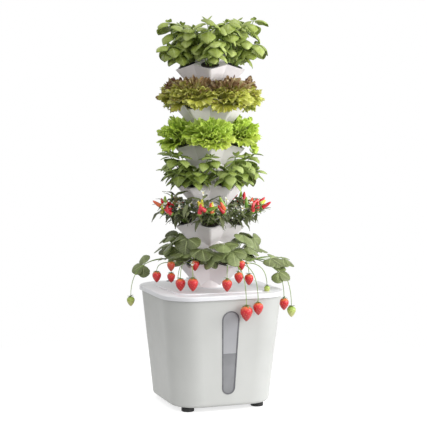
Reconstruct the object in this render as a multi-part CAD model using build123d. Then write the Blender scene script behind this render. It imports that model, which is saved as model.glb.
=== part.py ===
from build123d import *
from math import atan, cos, degrees, radians, sin, sqrt
import os

# Hydroponic tower: a square water tub, a lid and a stack of star-shaped planters round a hollow
# column, with a pump in the tub and a pipe through the column. Millimetres, +Z up, the front with
# its water window faces -Y, and the origin is on the floor under the middle of the tub.

# Clearances
slip = 0.3                      # between pieces that lift or turn apart
nest = 0.2                      # between pieces that stay fitted together
leaf_gap = 4.0                  # between a plant and the planters round it

# Feet
foot_height = 14.0
foot_radius = 18.0
foot_inset = 43.0               # from the edge of the tub's floor to the middle of a foot
foot_recess_radius = 7.0
foot_recess_depth = 7.0
foot_screw_radius = 2.5
foot_screw_head_radius = 5.0
foot_screw_head = 3.0
foot_boss_radius = 8.0
foot_boss_height = 10.0

# Tub
tub_rim_z = 325.0
tub_rim_half = 174.0            # half the side of the tub at its rim
tub_floor_half = 146.0
tub_rim_corner = 83.0
tub_floor_corner = 76.0
tub_wall = 3.0
tub_bottom_round = 10.0

# Water window in the front of the tub, a pill that narrows downwards
window_top_z = 281.0
window_bottom_z = 52.0
window_top_radius = 22.0
window_bottom_radius = 15.5
gasket_width = 2.0
gasket_flange = 1.5
gasket_proud = 1.0

# Lid
lid_play = 2.0                  # between the tub's rim and the lid's skirt
lid_wall = 4.0
lid_lap = 8.0                   # how far the skirt reaches down over the rim
lid_plate = 4.0
lid_edge_round = 3.5
panel_inset = 43.0              # from the lid's edge to the raised panel
panel_height = 2.5
panel_edge = 1.5

# Cable grommet at the back of the lid
grommet_x = -70.0
grommet_inset = 24.0            # from the lid's edge to the middle of the grommet
grommet_hole_radius = 8.0
grommet_flange = 2.5
grommet_flange_height = 1.5
grommet_bore_radius = 3.5

# Fill hatch at the back of the lid
hatch_direction = 90.0
hatch_inset = 44.0              # from the lid's edge to the middle of the hatch
hatch_length = 40.0             # away from the tower
hatch_width = 52.0
hatch_corner = 7.0
hatch_plate = 2.5
hatch_overlap = 5.0             # of the hatch over the edge of the fill port
hatch_seal_depth = 3.0
hatch_seal_wall = 2.5
hatch_seal_play = 0.8
hinge_offset = 3.6              # from the hatch's edge to the hinge axis
hinge_radius = 3.2
hinge_knuckle = 16.0
hinge_ear = 9.0
hinge_pin_radius = 1.5

# Tower
tier_count = 6
tier_pitch = 110.0
lobe_count = 5
tower_turn = -110.0             # direction of a lobe of the highest planter
lip_height = 60.0               # of a lobe's tip over the planter's seat
tip_radius = 104.0              # of a lobe's tip
foot_tip_radius = 46.0          # the lobes' ridges carried down to the seat
valley_share = 0.675            # of the valley's radius to the tip's at one height
valley_rise = 15.0              # of the rim in a valley over the lobe's tip
ridge_round = 7.0
planter_wall = 2.5
planter_floor_z = 15.0
column_radius = 42.0
column_wall = 3.0
collar_radius = 50.0
collar_height = 24.0
collar_top_radius = 43.0
spigot_radius = 38.0
spigot_wall = 3.0
spigot_height = 12.0
spigot_gap = 0.5                # over the top of a spigot in its socket
shoulder_depth = 6.0
ledge_radius = 32.0             # of the ledges in the bores that carry the spiders
spider_height = 8.0             # of the ribs that hold the pipes in the bores
spider_rib = 3.0
spider_ribs = 3

# Riser pipe, one length in each planter, and the pieces on its line
pipe_radius = 11.0
pipe_wall = 2.0
pipe_socket_wall = 2.0
pipe_socket_below = 4.0         # how far a socket reaches below its planter's seat
pipe_socket_depth = 14.0
pipe_end = 8.0                  # how far a pipe reaches over the next seat

# Net cups and grow plugs
cup_place = 69.0                # from the tower's axis to the middle of a cup's mouth
cup_hole_radius = 22.4
cup_rim_radius = 25.0
cup_rim_height = 2.2
cup_depth = 34.0
cup_bottom_radius = 13.0
cup_wall = 1.2
cup_slots = 8
cup_slot_width = 4.5
cup_slot_top = 7.0
cup_slot_bottom = 27.0
cup_drain_radius = 3.0
plug_top = 1.0                  # below the planter's roof
plug_depth = 28.0

# Base socket on the lid
flange_radius = 60.0
flange_thickness = 2.5
socket_tail = 9.0               # of the socket's tube below the lid
socket_hub_radius = 16.0
socket_screw_place = 55.0
socket_screw_radius = 2.0
socket_screw_head_radius = 4.0
socket_screw_length = 7.0
socket_screws = 4
socket_screw_turn = 45.0
socket_rib_turn = 28.0

# Riser coupling, its nut and the hose below it
coupling_collar_radius = 15.0
coupling_collar = 3.0
coupling_length = 50.0          # below the tower's seat
nut_radius = 18.0
nut_height = 7.0
hose_wall = 2.5
hose_gap = 1.0                  # between the hose's ends and what they butt against
clip_thickness = 1.6
clip_width = 8.0
clip_ear = 8.0
clip_place = 10.0               # from the hose's end to the near side of a clip

# Pump on the tub's floor
pump_half_width = 28.0
pump_front = 13.0
pump_back = 58.0
pump_lift = 4.0                 # of the housing over the tub's floor
pump_height = 52.0
pump_round = 4.0
pump_outlet_height = 30.0
pump_chamber_radius = 17.0
pump_chamber_depth = 18.0
rotor_radius = 8.4
rotor_gap = 0.6
rotor_length = 32.0
impeller_radius = 15.0
impeller_hub_radius = 6.0
impeller_width = 11.0
impeller_blade = 2.0
impeller_blades = 6
shaft_radius = 2.0
shaft_seat = 4.0
pump_cover_radius = 22.0
pump_cover_thickness = 3.0
pump_inlet_place = 9.0
pump_inlet_radius = 2.6
pump_inlets = 6
strainer_depth = 14.0
strainer_wall = 2.0
strainer_slots = 6
strainer_slot_width = 3.0
suction_cup_radius = 9.0
suction_cup_stem = 3.0
suction_cup_stem_depth = 4.0
suction_cup_inset = 11.0

# Top cap and water spreader
cap_height = 30.0
cap_dome_radius = 18.0
cap_wall = 3.0
spreader_thickness = 1.6
spreader_holes = 10
spreader_hole_radius = 1.8
spreader_nozzle = 8.0           # of the nozzle over the spreader's plate

# Plants
plant_stem_radius = 4.0
plant_stem_length = 34.0
plant_reach = 31.5              # half the angle that one plant may fill
plant_core = 62.0               # radius round the axis that plants keep clear of
plant_rounding = 1.02           # of a crown's outline from above to half its width
berry_length = 30.0
berry_radius = 12.5
berry_stem_radius = 1.6
berry_stem_bend = 10.0
berry_stem_start = 126.0        # from the axis, inside a crown
berry_stem_height = 14.0        # over the lowest lips
berry_stem_gather = 0.5         # of a stem's angle from the middle of its crown, where it starts
leaf_stalk_height = 30.0        # over the lowest lips, where a runner leaf's stalk starts
pepper_length = 28.0
pepper_radius = 4.5
pepper_sink = 3.0
pepper_spots = [(158.0, 0.0), (148.0, -19.0), (148.0, 19.0)]   # distance from the axis and swing
chilli_tier = 5
leaf_length = 56.0
leaf_width = 46.0
leaf_thickness = 2.0
leaf_fan = 72.0

# For each tier from the top: how far from the axis and how high over the lips the crown of one
# plant has its middle, and half its width and half its height
crown_forms = [
    (92.0, 86.0, 58.0, 80.0),     # basil
    (98.0, 50.0, 54.0, 54.0),     # red lettuce
    (98.0, 50.0, 53.0, 54.0),     # green lettuce
    (98.0, 50.0, 54.0, 54.0),     # mint
    (108.0, 50.0, 68.0, 54.0),    # chilli
    (104.0, 50.0, 62.0, 54.0),    # strawberry
]

# Hanging strawberries: angle from the front lobes' direction, distance from the axis and height
berries = [
    (-52.0, 138.0, 372.0),
    (-34.0, 146.0, 358.0),
    (-18.0, 152.0, 362.0),
    (18.0, 152.0, 360.0),
    (46.0, 150.0, 370.0),
    (29.4, 203.0, 288.0),
    (39.0, 210.0, 298.0),
    (94.0, 212.0, 284.0),
    (84.0, 232.0, 268.0),
    (-81.0, 228.0, 298.0),
    (-68.0, 162.0, 372.0),
    (188.0, 204.0, 292.0),
    (209.0, 204.0, 300.0),
]
berry_sizes = [0.8, 1.0, 0.9, 1.0, 0.9, 1.2, 1.0, 1.0, 0.9, 0.8, 0.9, 1.1, 1.0]

# Runner leaves: angle from the front lobes' direction, distance from the axis and height of the
# point where the three leaflets meet, and the tilt of the leaf
runner_leaves = [
    (90.0, 206.0, 412.0, 8.0),
    (-94.0, 196.0, 390.0, 16.0),
]

# Values worked out from those above
tub_slope = (tub_rim_half - tub_floor_half) / (tub_rim_z - foot_height)
lid_half = tub_rim_half + lid_play + lid_wall
lid_corner = tub_rim_corner + lid_play + lid_wall
grommet_y = lid_half - grommet_inset
hatch_middle = lid_half - hatch_inset
lid_top_z = tub_rim_z + lid_plate
panel_top_z = lid_top_z + panel_height
seat_z = panel_top_z + flange_thickness
tub_floor_top = foot_height + tub_wall
foot_place = tub_floor_half - foot_inset
foot_screw_top = tub_floor_top + foot_boss_height - tub_wall
half_lobe = 180.0 / lobe_count
flare = (tip_radius - foot_tip_radius) / lip_height
valley_radius = valley_share * (tip_radius + flare * valley_rise)
roof_slope = valley_rise / (tip_radius - valley_radius * cos(radians(half_lobe)))
roof_angle = degrees(atan(roof_slope))
bore_radius = spigot_radius - spigot_wall
pipe_bore = pipe_radius - pipe_wall
cup_mouth_z = lip_height + (tip_radius - cup_place) * roof_slope
tier_yaws = [tower_turn + half_lobe * (tier % 2) for tier in range(tier_count)]
tier_seats = [seat_z + tier_pitch * (tier_count - 1 - tier) for tier in range(tier_count)]

os.makedirs("parts", exist_ok=True)


def save(node, solids):
    """Writes one node, which is one solid or a group of separate solids."""
    group = solids if isinstance(solids, list) else [solids]
    pieces = [piece for shape in group for piece in shape.solids()]
    export_step(Compound(children=pieces), f"parts/{node}.step")


def disc(radius, low, high):
    return Pos(0, 0, low) * Cylinder(radius, high - low, align=(Align.CENTER, Align.CENTER, Align.MIN))


def ring(outer, inner, low, high):
    return disc(outer, low, high) - disc(inner, low, high)


def cone(low_radius, high_radius, low, high):
    align = (Align.CENTER, Align.CENTER, Align.MIN)
    return Pos(0, 0, low) * Cone(low_radius, high_radius, high - low, align=align)


def block(low, high):
    size = [high[i] - low[i] for i in range(3)]
    return Pos(*low) * Box(*size, align=(Align.MIN, Align.MIN, Align.MIN))


def round_square(half, corner, z):
    return Pos(0, 0, z) * RectangleRounded(2 * half, 2 * half, corner)


def along_y(shape):
    """Turns a shape made along +Z to lie along +Y."""
    return Rot(X=-90) * shape


# Feet and their screws
def make_feet():
    foot = disc(foot_radius, 0, foot_height)
    foot = fillet(foot.edges().group_by(Axis.Z)[0], foot_height / 7)
    foot -= disc(foot_recess_radius, 0, foot_recess_depth)
    foot -= disc(foot_screw_radius + nest, 0, foot_height)
    screw = disc(foot_screw_head_radius, foot_recess_depth - foot_screw_head, foot_recess_depth)
    screw += disc(foot_screw_radius, foot_recess_depth, foot_screw_top)
    places = GridLocations(2 * foot_place, 2 * foot_place, 2, 2).locations
    save("rubber_feet", [place * foot for place in places])
    save("foot_screws", [place * screw for place in places])


# Tub, its window and the window's gasket
def tub_half(z):
    return tub_floor_half + tub_slope * (z - foot_height)


def tub_corner(z):
    share = (z - foot_height) / (tub_rim_z - foot_height)
    return tub_floor_corner + (tub_rim_corner - tub_floor_corner) * share


def tub_block(inset, low, high):
    """The tub's outline drawn in by inset, from one height to another, round at the bottom."""
    ends = [round_square(tub_half(z) - inset, tub_corner(z) - inset, z) for z in (low, high)]
    shape = loft(ends, ruled=True)
    return fillet(shape.edges().group_by(Axis.Z)[0], tub_bottom_round - inset)


def window_plane():
    tilt = atan(tub_slope)
    middle = (window_top_z + window_bottom_z) / 2
    return Plane((0, -tub_half(middle), middle), x_dir=(1, 0, 0), z_dir=(0, -cos(tilt), -sin(tilt)))


def window_pill(grow, start, end):
    """A solid of the window's outline, grown, between two depths measured outwards from the tub."""
    half = (window_top_z - window_bottom_z) / 2 / cos(atan(tub_slope))
    top = Pos(0, half - window_top_radius) * Circle(window_top_radius + grow)
    bottom = Pos(0, window_bottom_radius - half) * Circle(window_bottom_radius + grow)
    outline = make_hull(top.edges() + bottom.edges())
    return extrude(window_plane().offset(start) * outline, amount=end - start)


def make_tub():
    tub = tub_block(0, foot_height, tub_rim_z)
    tub -= tub_block(tub_wall, tub_floor_top, tub_rim_z)
    for place in GridLocations(2 * foot_place, 2 * foot_place, 2, 2).locations:
        tub += place * disc(foot_boss_radius, tub_floor_top, tub_floor_top + foot_boss_height)
        tub -= place * disc(foot_screw_radius + nest, foot_height, foot_screw_top + nest)
    tub -= window_pill(gasket_width, -3 * tub_wall, 3 * tub_wall)
    save("reservoir_tub", tub)
    gasket = window_pill(gasket_width - nest, -tub_wall, gasket_proud)
    gasket += window_pill(gasket_width + gasket_flange, 0, gasket_proud)
    gasket -= window_pill(0, -2 * tub_wall, 2 * tub_wall)
    save("window_gasket", gasket)
    save("water_window", window_pill(-nest, -tub_wall, 0))


# Fill hatch: made with the tower's axis at the origin, the hatch along +X, then turned into place
hatch_turn = Rot(Z=hatch_direction)
hinge_place = hatch_middle + hatch_length / 2 + hinge_offset
hinge_z = panel_top_z + hinge_radius + slip


def hatch_outline(inset, low, high):
    face = RectangleRounded(hatch_length - 2 * inset, hatch_width - 2 * inset, hatch_corner - inset / 2)
    return extrude(Pos(hatch_middle, 0, low) * face, amount=high - low)


def hinge_bar(radius, start, end):
    return Pos(hinge_place, start, hinge_z) * along_y(disc(radius, 0, end - start))


def make_hatch():
    plate_top = panel_top_z + hatch_plate
    hatch = hatch_outline(0, panel_top_z, plate_top)
    hatch = fillet(hatch.edges().group_by(Axis.Z)[-1], hatch_plate / 3)
    arm_start = hatch_middle + hatch_length / 2 - hinge_offset
    arm_low = (arm_start, -hinge_knuckle / 2, panel_top_z + slip)
    hatch += block(arm_low, (hinge_place, hinge_knuckle / 2, plate_top))
    hatch += hinge_bar(hinge_radius, -hinge_knuckle / 2, hinge_knuckle / 2)
    hatch -= hinge_bar(hinge_pin_radius + nest, -hinge_knuckle, hinge_knuckle)
    save("fill_hatch", hatch_turn * hatch)
    inset = hatch_overlap + hatch_seal_play
    seal = hatch_outline(inset, panel_top_z - hatch_seal_depth, panel_top_z)
    seal -= hatch_outline(inset + hatch_seal_wall, panel_top_z - hatch_seal_depth, panel_top_z)
    save("hatch_seal", hatch_turn * seal)
    pin_half = hinge_knuckle / 2 + slip + hinge_ear
    save("hatch_hinge_pin", hatch_turn * hinge_bar(hinge_pin_radius, -pin_half, pin_half))


def hinge_ears():
    """The two ears that stand on the lid beside the hatch's knuckle."""
    ears = Part()
    for side in (-1, 1):
        near = side * (hinge_knuckle / 2 + slip)
        far = side * (hinge_knuckle / 2 + slip + hinge_ear)
        ear = hinge_bar(hinge_radius, min(near, far), max(near, far))
        low = (hinge_place - hinge_radius, min(near, far), panel_top_z - panel_height)
        ear += block(low, (hinge_place + hinge_radius, max(near, far), hinge_z))
        ears += ear
    ears -= hinge_bar(hinge_pin_radius + nest / 2, -hatch_width, hatch_width)
    return hatch_turn * ears


# Lid and its cable grommet
def make_lid():
    skirt_z = tub_rim_z - lid_lap
    lid = extrude(round_square(lid_half, lid_corner, skirt_z), amount=lid_top_z - skirt_z)
    lid = fillet(lid.edges().group_by(Axis.Z)[-1], lid_edge_round)
    lid -= extrude(round_square(lid_half - lid_wall, lid_corner - lid_wall, skirt_z), amount=lid_lap)
    panel = round_square(lid_half - panel_inset, lid_corner - panel_inset, lid_top_z)
    panel = extrude(panel, amount=panel_height)
    lid += chamfer(panel.edges().group_by(Axis.Z)[-1], panel_edge)
    lid += hinge_ears()
    lid -= disc(spigot_radius + nest, tub_rim_z, panel_top_z)
    lid -= hatch_turn * hatch_outline(hatch_overlap, tub_rim_z, panel_top_z)
    lid -= Pos(grommet_x, grommet_y) * disc(grommet_hole_radius, tub_rim_z, lid_top_z)
    for place in PolarLocations(socket_screw_place, socket_screws, start_angle=socket_screw_turn).locations:
        lid -= place * disc(socket_screw_radius + nest, seat_z - socket_screw_length - nest, panel_top_z)
    save("lid", lid)
    flange = grommet_hole_radius + grommet_flange
    grommet = disc(flange, lid_top_z, lid_top_z + grommet_flange_height)
    grommet += disc(flange, tub_rim_z - grommet_flange_height, tub_rim_z)
    grommet += disc(grommet_hole_radius - nest, tub_rim_z, lid_top_z)
    grommet -= disc(grommet_bore_radius, tub_rim_z - lid_plate, lid_top_z + lid_plate)
    save("cable_grommet", Pos(grommet_x, grommet_y) * grommet)


# Ribs from a pipe to the bore round it, which stand on a ledge in that bore
def spider_arms(low, reach, turn):
    arms = Part()
    for arm in PolarLocations(0, spider_ribs, start_angle=turn).locations:
        arms += arm * block((0, -spider_rib / 2, low), (reach, spider_rib / 2, low + spider_height))
    return arms


# Base socket that the tower stands on, with the spider that holds the riser coupling, and its screws
def make_base_socket():
    tail_z = tub_rim_z - socket_tail
    hub_top = seat_z - pipe_socket_below - coupling_collar - slip
    hub_low = hub_top - spider_height
    socket = disc(flange_radius, panel_top_z, seat_z)
    socket += disc(spigot_radius, tail_z, seat_z + spigot_height)
    socket -= disc(ledge_radius, tail_z, seat_z)
    socket -= disc(bore_radius, hub_low - nest, seat_z + spigot_height)
    spider = spider_arms(hub_low, bore_radius - nest, socket_rib_turn)
    spider += disc(socket_hub_radius, hub_low, hub_top)
    save("socket_spider", spider - disc(pipe_radius + nest, hub_low, hub_top))
    head = cone(socket_screw_radius, socket_screw_head_radius, panel_top_z, seat_z)
    seat = cone(socket_screw_radius + nest, socket_screw_head_radius + nest, panel_top_z, seat_z)
    screw = head + disc(socket_screw_radius, seat_z - socket_screw_length, seat_z - flange_thickness / 2)
    places = PolarLocations(socket_screw_place, socket_screws, start_angle=socket_screw_turn).locations
    for place in places:
        socket -= place * seat
    save("tower_base_socket", socket)
    save("base_screws", [place * screw for place in places])


# Riser coupling, its nut, the delivery hose and the hose's clips
pump_low = tub_floor_top + pump_lift
pump_top = pump_low + pump_height
pump_axis_z = pump_low + pump_height / 2


def make_delivery_line():
    hub_top = seat_z - pipe_socket_below - coupling_collar - slip
    coupling = disc(pipe_radius, seat_z - coupling_length, seat_z + pipe_end)
    coupling += disc(coupling_collar_radius, hub_top, hub_top + coupling_collar)
    coupling -= disc(pipe_bore, seat_z - coupling_length, seat_z + pipe_end)
    save("riser_coupling", coupling)
    nut_top = hub_top - spider_height
    nut = extrude(Pos(0, 0, nut_top - nut_height) * RegularPolygon(nut_radius, 6), amount=nut_height)
    save("coupling_nut", nut - disc(pipe_radius + nest, nut_top - nut_height, nut_top))
    hose_inner = pipe_radius + nest
    hose_outer = hose_inner + hose_wall
    hose_low = pump_top + hose_gap
    hose_high = nut_top - nut_height - hose_gap
    save("delivery_hose", ring(hose_outer, hose_inner, hose_low, hose_high))
    clip_inner = hose_outer + nest
    clip = disc(clip_inner + clip_thickness, 0, clip_width)
    for side in (-1, 1):
        ear_side = sorted((side * clip_thickness, side * 2 * clip_thickness))
        ear_end = clip_inner + clip_thickness + clip_ear
        clip += block((clip_inner, ear_side[0], 0), (ear_end, ear_side[1], clip_width))
    clip -= disc(clip_inner, 0, clip_width)
    clip -= block((0, -clip_thickness, 0), (clip_inner + clip_ear, clip_thickness, clip_width))
    low_clip = Pos(0, 0, hose_low + clip_place) * clip
    high_clip = Pos(0, 0, hose_high - clip_place - clip_width) * clip
    save("hose_clips", [low_clip, high_clip])


# Pump: the rotor turns about an axis along Y at the height of the chamber
def on_pump_axis(shape):
    return Pos(0, 0, pump_axis_z) * along_y(shape)


def make_pump():
    chamber_back = pump_chamber_depth - pump_front
    bore_end = chamber_back + rotor_length + rotor_gap
    housing = block((-pump_half_width, -pump_front, pump_low), (pump_half_width, pump_back, pump_top))
    housing = fillet(housing.edges(), pump_round)
    housing += disc(pipe_radius, pump_axis_z, pump_top + pump_outlet_height)
    housing -= on_pump_axis(disc(pump_chamber_radius, -pump_front, chamber_back))
    housing -= on_pump_axis(disc(rotor_radius + rotor_gap, chamber_back, bore_end))
    housing -= on_pump_axis(disc(shaft_radius + nest / 2, bore_end, bore_end + shaft_seat))
    housing -= disc(pipe_bore, pump_axis_z, pump_top + pump_outlet_height)
    cup_places = [
        Pos(x, y, pump_low)
        for x in (suction_cup_inset - pump_half_width, pump_half_width - suction_cup_inset)
        for y in (suction_cup_inset - pump_front, pump_back - suction_cup_inset)
    ]
    for place in cup_places:
        housing -= place * disc(suction_cup_stem + nest, 0, suction_cup_stem_depth)
    save("pump_housing", housing)
    cup = cone(suction_cup_radius, suction_cup_stem + nest, slip - pump_lift, 0)
    cup += disc(suction_cup_stem, 0, suction_cup_stem_depth - nest)
    save("pump_suction_cups", [place * cup for place in cup_places])
    cover_front = pump_front + pump_cover_thickness
    cover = on_pump_axis(disc(pump_cover_radius, -cover_front, -pump_front))
    cover -= on_pump_axis(disc(shaft_radius + nest / 2, -cover_front, -pump_front))
    for place in PolarLocations(pump_inlet_place, pump_inlets).locations:
        cover -= on_pump_axis(place * disc(pump_inlet_radius, -cover_front, -pump_front))
    save("pump_cover", cover)
    save("pump_shaft", on_pump_axis(disc(shaft_radius, -cover_front, bore_end + shaft_seat - nest)))
    impeller_start = rotor_gap - pump_front
    magnet_end = bore_end - rotor_gap
    rotor = disc(impeller_hub_radius, impeller_start, chamber_back)
    rotor += disc(rotor_radius, chamber_back, magnet_end)
    for place in PolarLocations(0, impeller_blades).locations:
        low = (shaft_radius, -impeller_blade / 2, impeller_start)
        rotor += place * block(low, (impeller_radius, impeller_blade / 2, impeller_start + impeller_width))
    rotor -= disc(shaft_radius + nest, impeller_start, magnet_end)
    save("pump_rotor", on_pump_axis(rotor))
    make_strainer()


def make_strainer():
    front = -pump_front - strainer_depth
    inner = pump_half_width - strainer_wall
    strainer = block((-pump_half_width, front, pump_low), (pump_half_width, -pump_front, pump_top))
    strainer = fillet(strainer.edges().filter_by(Axis.Y) + strainer.edges().group_by(Axis.Y)[0], pump_round)
    hollow_low = (-inner, front + strainer_wall, pump_low + strainer_wall)
    strainer -= block(hollow_low, (inner, -pump_front, pump_top - strainer_wall))
    gap = 2 * inner / strainer_slots
    for slot in range(strainer_slots):
        x = -inner + gap * (slot + 0.5)
        low = (x - strainer_slot_width / 2, front, pump_low + 3 * strainer_wall)
        high = (x + strainer_slot_width / 2, front + strainer_wall, pump_top - 3 * strainer_wall)
        strainer -= block(low, high)
    save("pump_strainer", strainer)


# Planters. The lobes' walls run to one point below the seat, so a wall's offset is a shift in height
def star(tip):
    points = []
    for lobe in range(lobe_count):
        for radius, turn in ((tip, 0), (tip * valley_share, half_lobe)):
            angle = radians(2 * half_lobe * lobe + turn)
            points.append((radius * cos(angle), radius * sin(angle)))
    face = make_face(Polyline(*points, close=True))
    return fillet(face.vertices(), ridge_round * tip / tip_radius)


def star_cone(shift, low, high):
    """The planter's walls, drawn in by a shift in height, between two heights."""
    ends = [Pos(0, 0, z) * star(foot_tip_radius + flare * (z - shift)) for z in (low, high)]
    return loft(ends, ruled=True)


def roof(shift, low):
    """The five slopes over the planter, raised by shift, as a pyramid that starts at height low."""
    high = lip_height + shift + roof_slope * (tip_radius - bore_radius / 2)
    ends = []
    for z in (low, high):
        apothem = tip_radius - (z - lip_height - shift) / roof_slope
        face = RegularPolygon(apothem, lobe_count, major_radius=False, rotation=half_lobe)
        ends.append(Pos(0, 0, z) * face)
    return loft(ends, ruled=True)


edge = sqrt(1 + valley_share ** 2 - 2 * valley_share * cos(radians(half_lobe)))
wall_run = flare * valley_share * sin(radians(half_lobe)) / edge
wall_shift = planter_wall * sqrt(1 + wall_run ** 2) / wall_run
roof_shift = planter_wall / cos(radians(roof_angle))
cup_plane = Plane(
    (cup_place, 0, cup_mouth_z),
    x_dir=(cos(radians(roof_angle)), 0, -sin(radians(roof_angle))),
    z_dir=(sin(radians(roof_angle)), 0, cos(radians(roof_angle))),
)
lobe_turns = [Rot(Z=2 * half_lobe * lobe) for lobe in range(lobe_count)]


def make_planter():
    column_top = tier_pitch
    planter = star_cone(0, 0, tier_pitch) & roof(0, 0)
    planter += cone(collar_radius, collar_top_radius, 0, collar_height)
    planter += disc(column_radius, lip_height, column_top)
    planter += disc(spigot_radius, column_top, column_top + spigot_height)
    planter -= star_cone(wall_shift, planter_floor_z, tier_pitch) & roof(-roof_shift, planter_floor_z)
    planter -= disc(column_radius - column_wall, lip_height, column_top - shoulder_depth)
    planter -= disc(ledge_radius, 0, planter_floor_z)
    planter -= disc(bore_radius, planter_floor_z, column_top + spigot_height)
    planter -= disc(spigot_radius + slip, 0, spigot_height + spigot_gap)
    for turn in lobe_turns:
        hole = cup_plane * disc(cup_hole_radius, -3 * planter_wall, 3 * planter_wall)
        planter -= turn * hole
    return planter


def make_pipe():
    socket_top = pipe_socket_depth - pipe_socket_below
    pipe = disc(pipe_radius + slip + pipe_socket_wall, -pipe_socket_below, socket_top + pipe_socket_wall)
    pipe += disc(pipe_radius, 0, tier_pitch + pipe_end)
    pipe += spider_arms(planter_floor_z + nest, bore_radius - slip, 0)
    pipe -= disc(pipe_radius + slip, -pipe_socket_below, socket_top)
    return pipe - disc(pipe_bore, 0, tier_pitch + pipe_end)


# Net cups and grow plugs, made on the roof's slope with +Z out of the planter
cup_taper = (cup_hole_radius - slip - cup_bottom_radius) / cup_depth


def cup_radius(depth):
    return cup_hole_radius - slip - cup_taper * depth


def make_cup():
    cup = cone(cup_bottom_radius, cup_radius(0), -cup_depth, 0)
    cup += disc(cup_rim_radius, 0, cup_rim_height)
    floor = cup_depth - cup_wall
    cup -= cone(cup_radius(floor) - cup_wall, cup_radius(0) - cup_wall, -floor, 0)
    cup -= disc(cup_radius(0) - cup_wall, 0, cup_rim_height)
    for place in PolarLocations(0, cup_slots).locations:
        low = (cup_bottom_radius / 2, -cup_slot_width / 2, -cup_slot_bottom)
        cup -= place * block(low, (cup_rim_radius, cup_slot_width / 2, -cup_slot_top))
    for place in PolarLocations(cup_bottom_radius / 2, cup_slots // 2).locations:
        cup -= place * disc(cup_drain_radius, -cup_depth, -floor)
    return cup


def make_plug():
    inset = cup_wall + slip
    low_radius = cup_radius(plug_top + plug_depth) - inset
    return cone(low_radius, cup_radius(plug_top) - inset, -plug_top - plug_depth, -plug_top)


# Plants: one rounded crown on a stem for each cup, clear of its own planter and of the next one up
def spheroid(radius, half_height):
    arc = EllipticalCenterArc((0, 0), radius, half_height, start_angle=-90, arc_size=180)
    face = make_face(Plane.XZ * (arc + Line((0, half_height), (0, -half_height))))
    return revolve(face, Axis.Z)


def room_over_roof():
    """Outline of the space over a planter's own roof that its plants' leaves stay out of."""
    fall = roof_slope * cos(radians(half_lobe))
    edge_radius = tip_radius + leaf_gap
    edge_z = lip_height + valley_rise + leaf_gap - (edge_radius - valley_radius) * fall
    peak = (0, edge_z + edge_radius * fall)
    return make_face(Polyline((0, 0), (edge_radius, 0), (edge_radius, edge_z), peak, close=True))


def room_under_next():
    """Outline of the space round the next planter up that the leaves below it stay out of."""
    low = (collar_radius + leaf_gap / 2, tier_pitch - leaf_gap)
    high_z = tier_pitch + lip_height
    high = (low[0] + flare * (high_z - low[1]) + leaf_gap / 2, high_z)
    top = 2 * tier_pitch
    return make_face(Polyline((0, low[1]), low, high, (high[0], top), (0, top), close=True))


def make_plant(form, under_a_planter):
    """One plant: a round section swung about the tower's axis, its ends rounded in plan, on a stem."""
    middle, rise, half_width, half_height = form
    section = Pos(middle, lip_height + rise) * Ellipse(half_width, half_height)
    section -= room_over_roof()
    if under_a_planter:
        section -= room_under_next()
    section -= Rectangle(2 * plant_core, 4 * tier_pitch)
    face = section.faces().sort_by(SortBy.AREA)[-1]
    crown = Rot(Z=-plant_reach) * revolve(Plane.XZ * face, Axis.Z, revolution_arc=2 * plant_reach)
    crown &= Pos(middle, 0, 0) * disc(half_width * plant_rounding, 0, 3 * tier_pitch)
    stem = cup_plane * disc(plant_stem_radius, slip - plug_top, plant_stem_length)
    return crown + stem


# Strawberries on their stems, runner leaves and chilli peppers, let into the crowns that carry them
def tower_point(angle, radius, z):
    turn = radians(tower_turn + angle)
    return Vector(radius * cos(turn), radius * sin(turn), z)


def nearest_lobe(angle):
    return round((angle - half_lobe) / (2 * half_lobe))


def stem_start(angle, height):
    """A point inside the nearest of the lowest planter's crowns, at a height over the lips."""
    middle = half_lobe + 2 * half_lobe * nearest_lobe(angle)
    turn = middle + berry_stem_gather * (angle - middle)
    return tower_point(turn, berry_stem_start, tier_seats[-1] + lip_height + height)


def tube(points, radius):
    path = FilletPolyline(*points, radius=berry_stem_bend) if len(points) > 2 else Line(*points)
    return sweep(Plane(origin=path @ 0, z_dir=path % 0) * Circle(radius), path=path)


def berry_points(angle, radius, z, size):
    start = stem_start(angle, berry_stem_height)
    top = tower_point(angle, radius, z + size * berry_length / 3)
    over = Vector(top.X, top.Y, start.Z - berry_stem_height / 2)
    return [start, over, top]


def make_berry(size):
    """A berry that hangs with its shoulders at height 0, as a profile of arcs turned round Z."""
    length = size * berry_length
    radius = size * berry_radius
    side = Spline((0, 0), (radius, -length / 4), (0, -length), tangents=[(1, 0), (-1, -0.4)])
    face = make_face(Plane.XZ * (side + Line((0, -length), (0, 0))))
    return revolve(face, Axis.Z)


def make_berries():
    solids = []
    for (angle, radius, z), size in zip(berries, berry_sizes):
        points = berry_points(angle, radius, z, size)
        fruit = Pos(points[-1]) * make_berry(size)
        ending = points[:-1] + [points[-1] - Vector(0, 0, size * berry_length / 3)]
        solids.append(tube(ending, berry_stem_radius) + fruit)
    return solids


def leaf_points(angle, radius, z):
    return [stem_start(angle, leaf_stalk_height), tower_point(angle, radius, z)]


def make_leaf(angle, radius, z, tilt):
    blade = extrude(Pos(leaf_length / 2, 0) * Ellipse(leaf_length / 2, leaf_width / 2), amount=leaf_thickness)
    leaf = Part()
    for turn in (-leaf_fan, 0, leaf_fan):
        leaf += Rot(Z=turn) * Pos(-leaf_length / 8, 0, 0) * blade
    end = tower_point(angle, radius, z)
    placed = Pos(end) * Rot(Z=tower_turn + angle) * Rot(Y=tilt) * leaf
    return tube(leaf_points(angle, radius, z), berry_stem_radius) + placed


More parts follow.
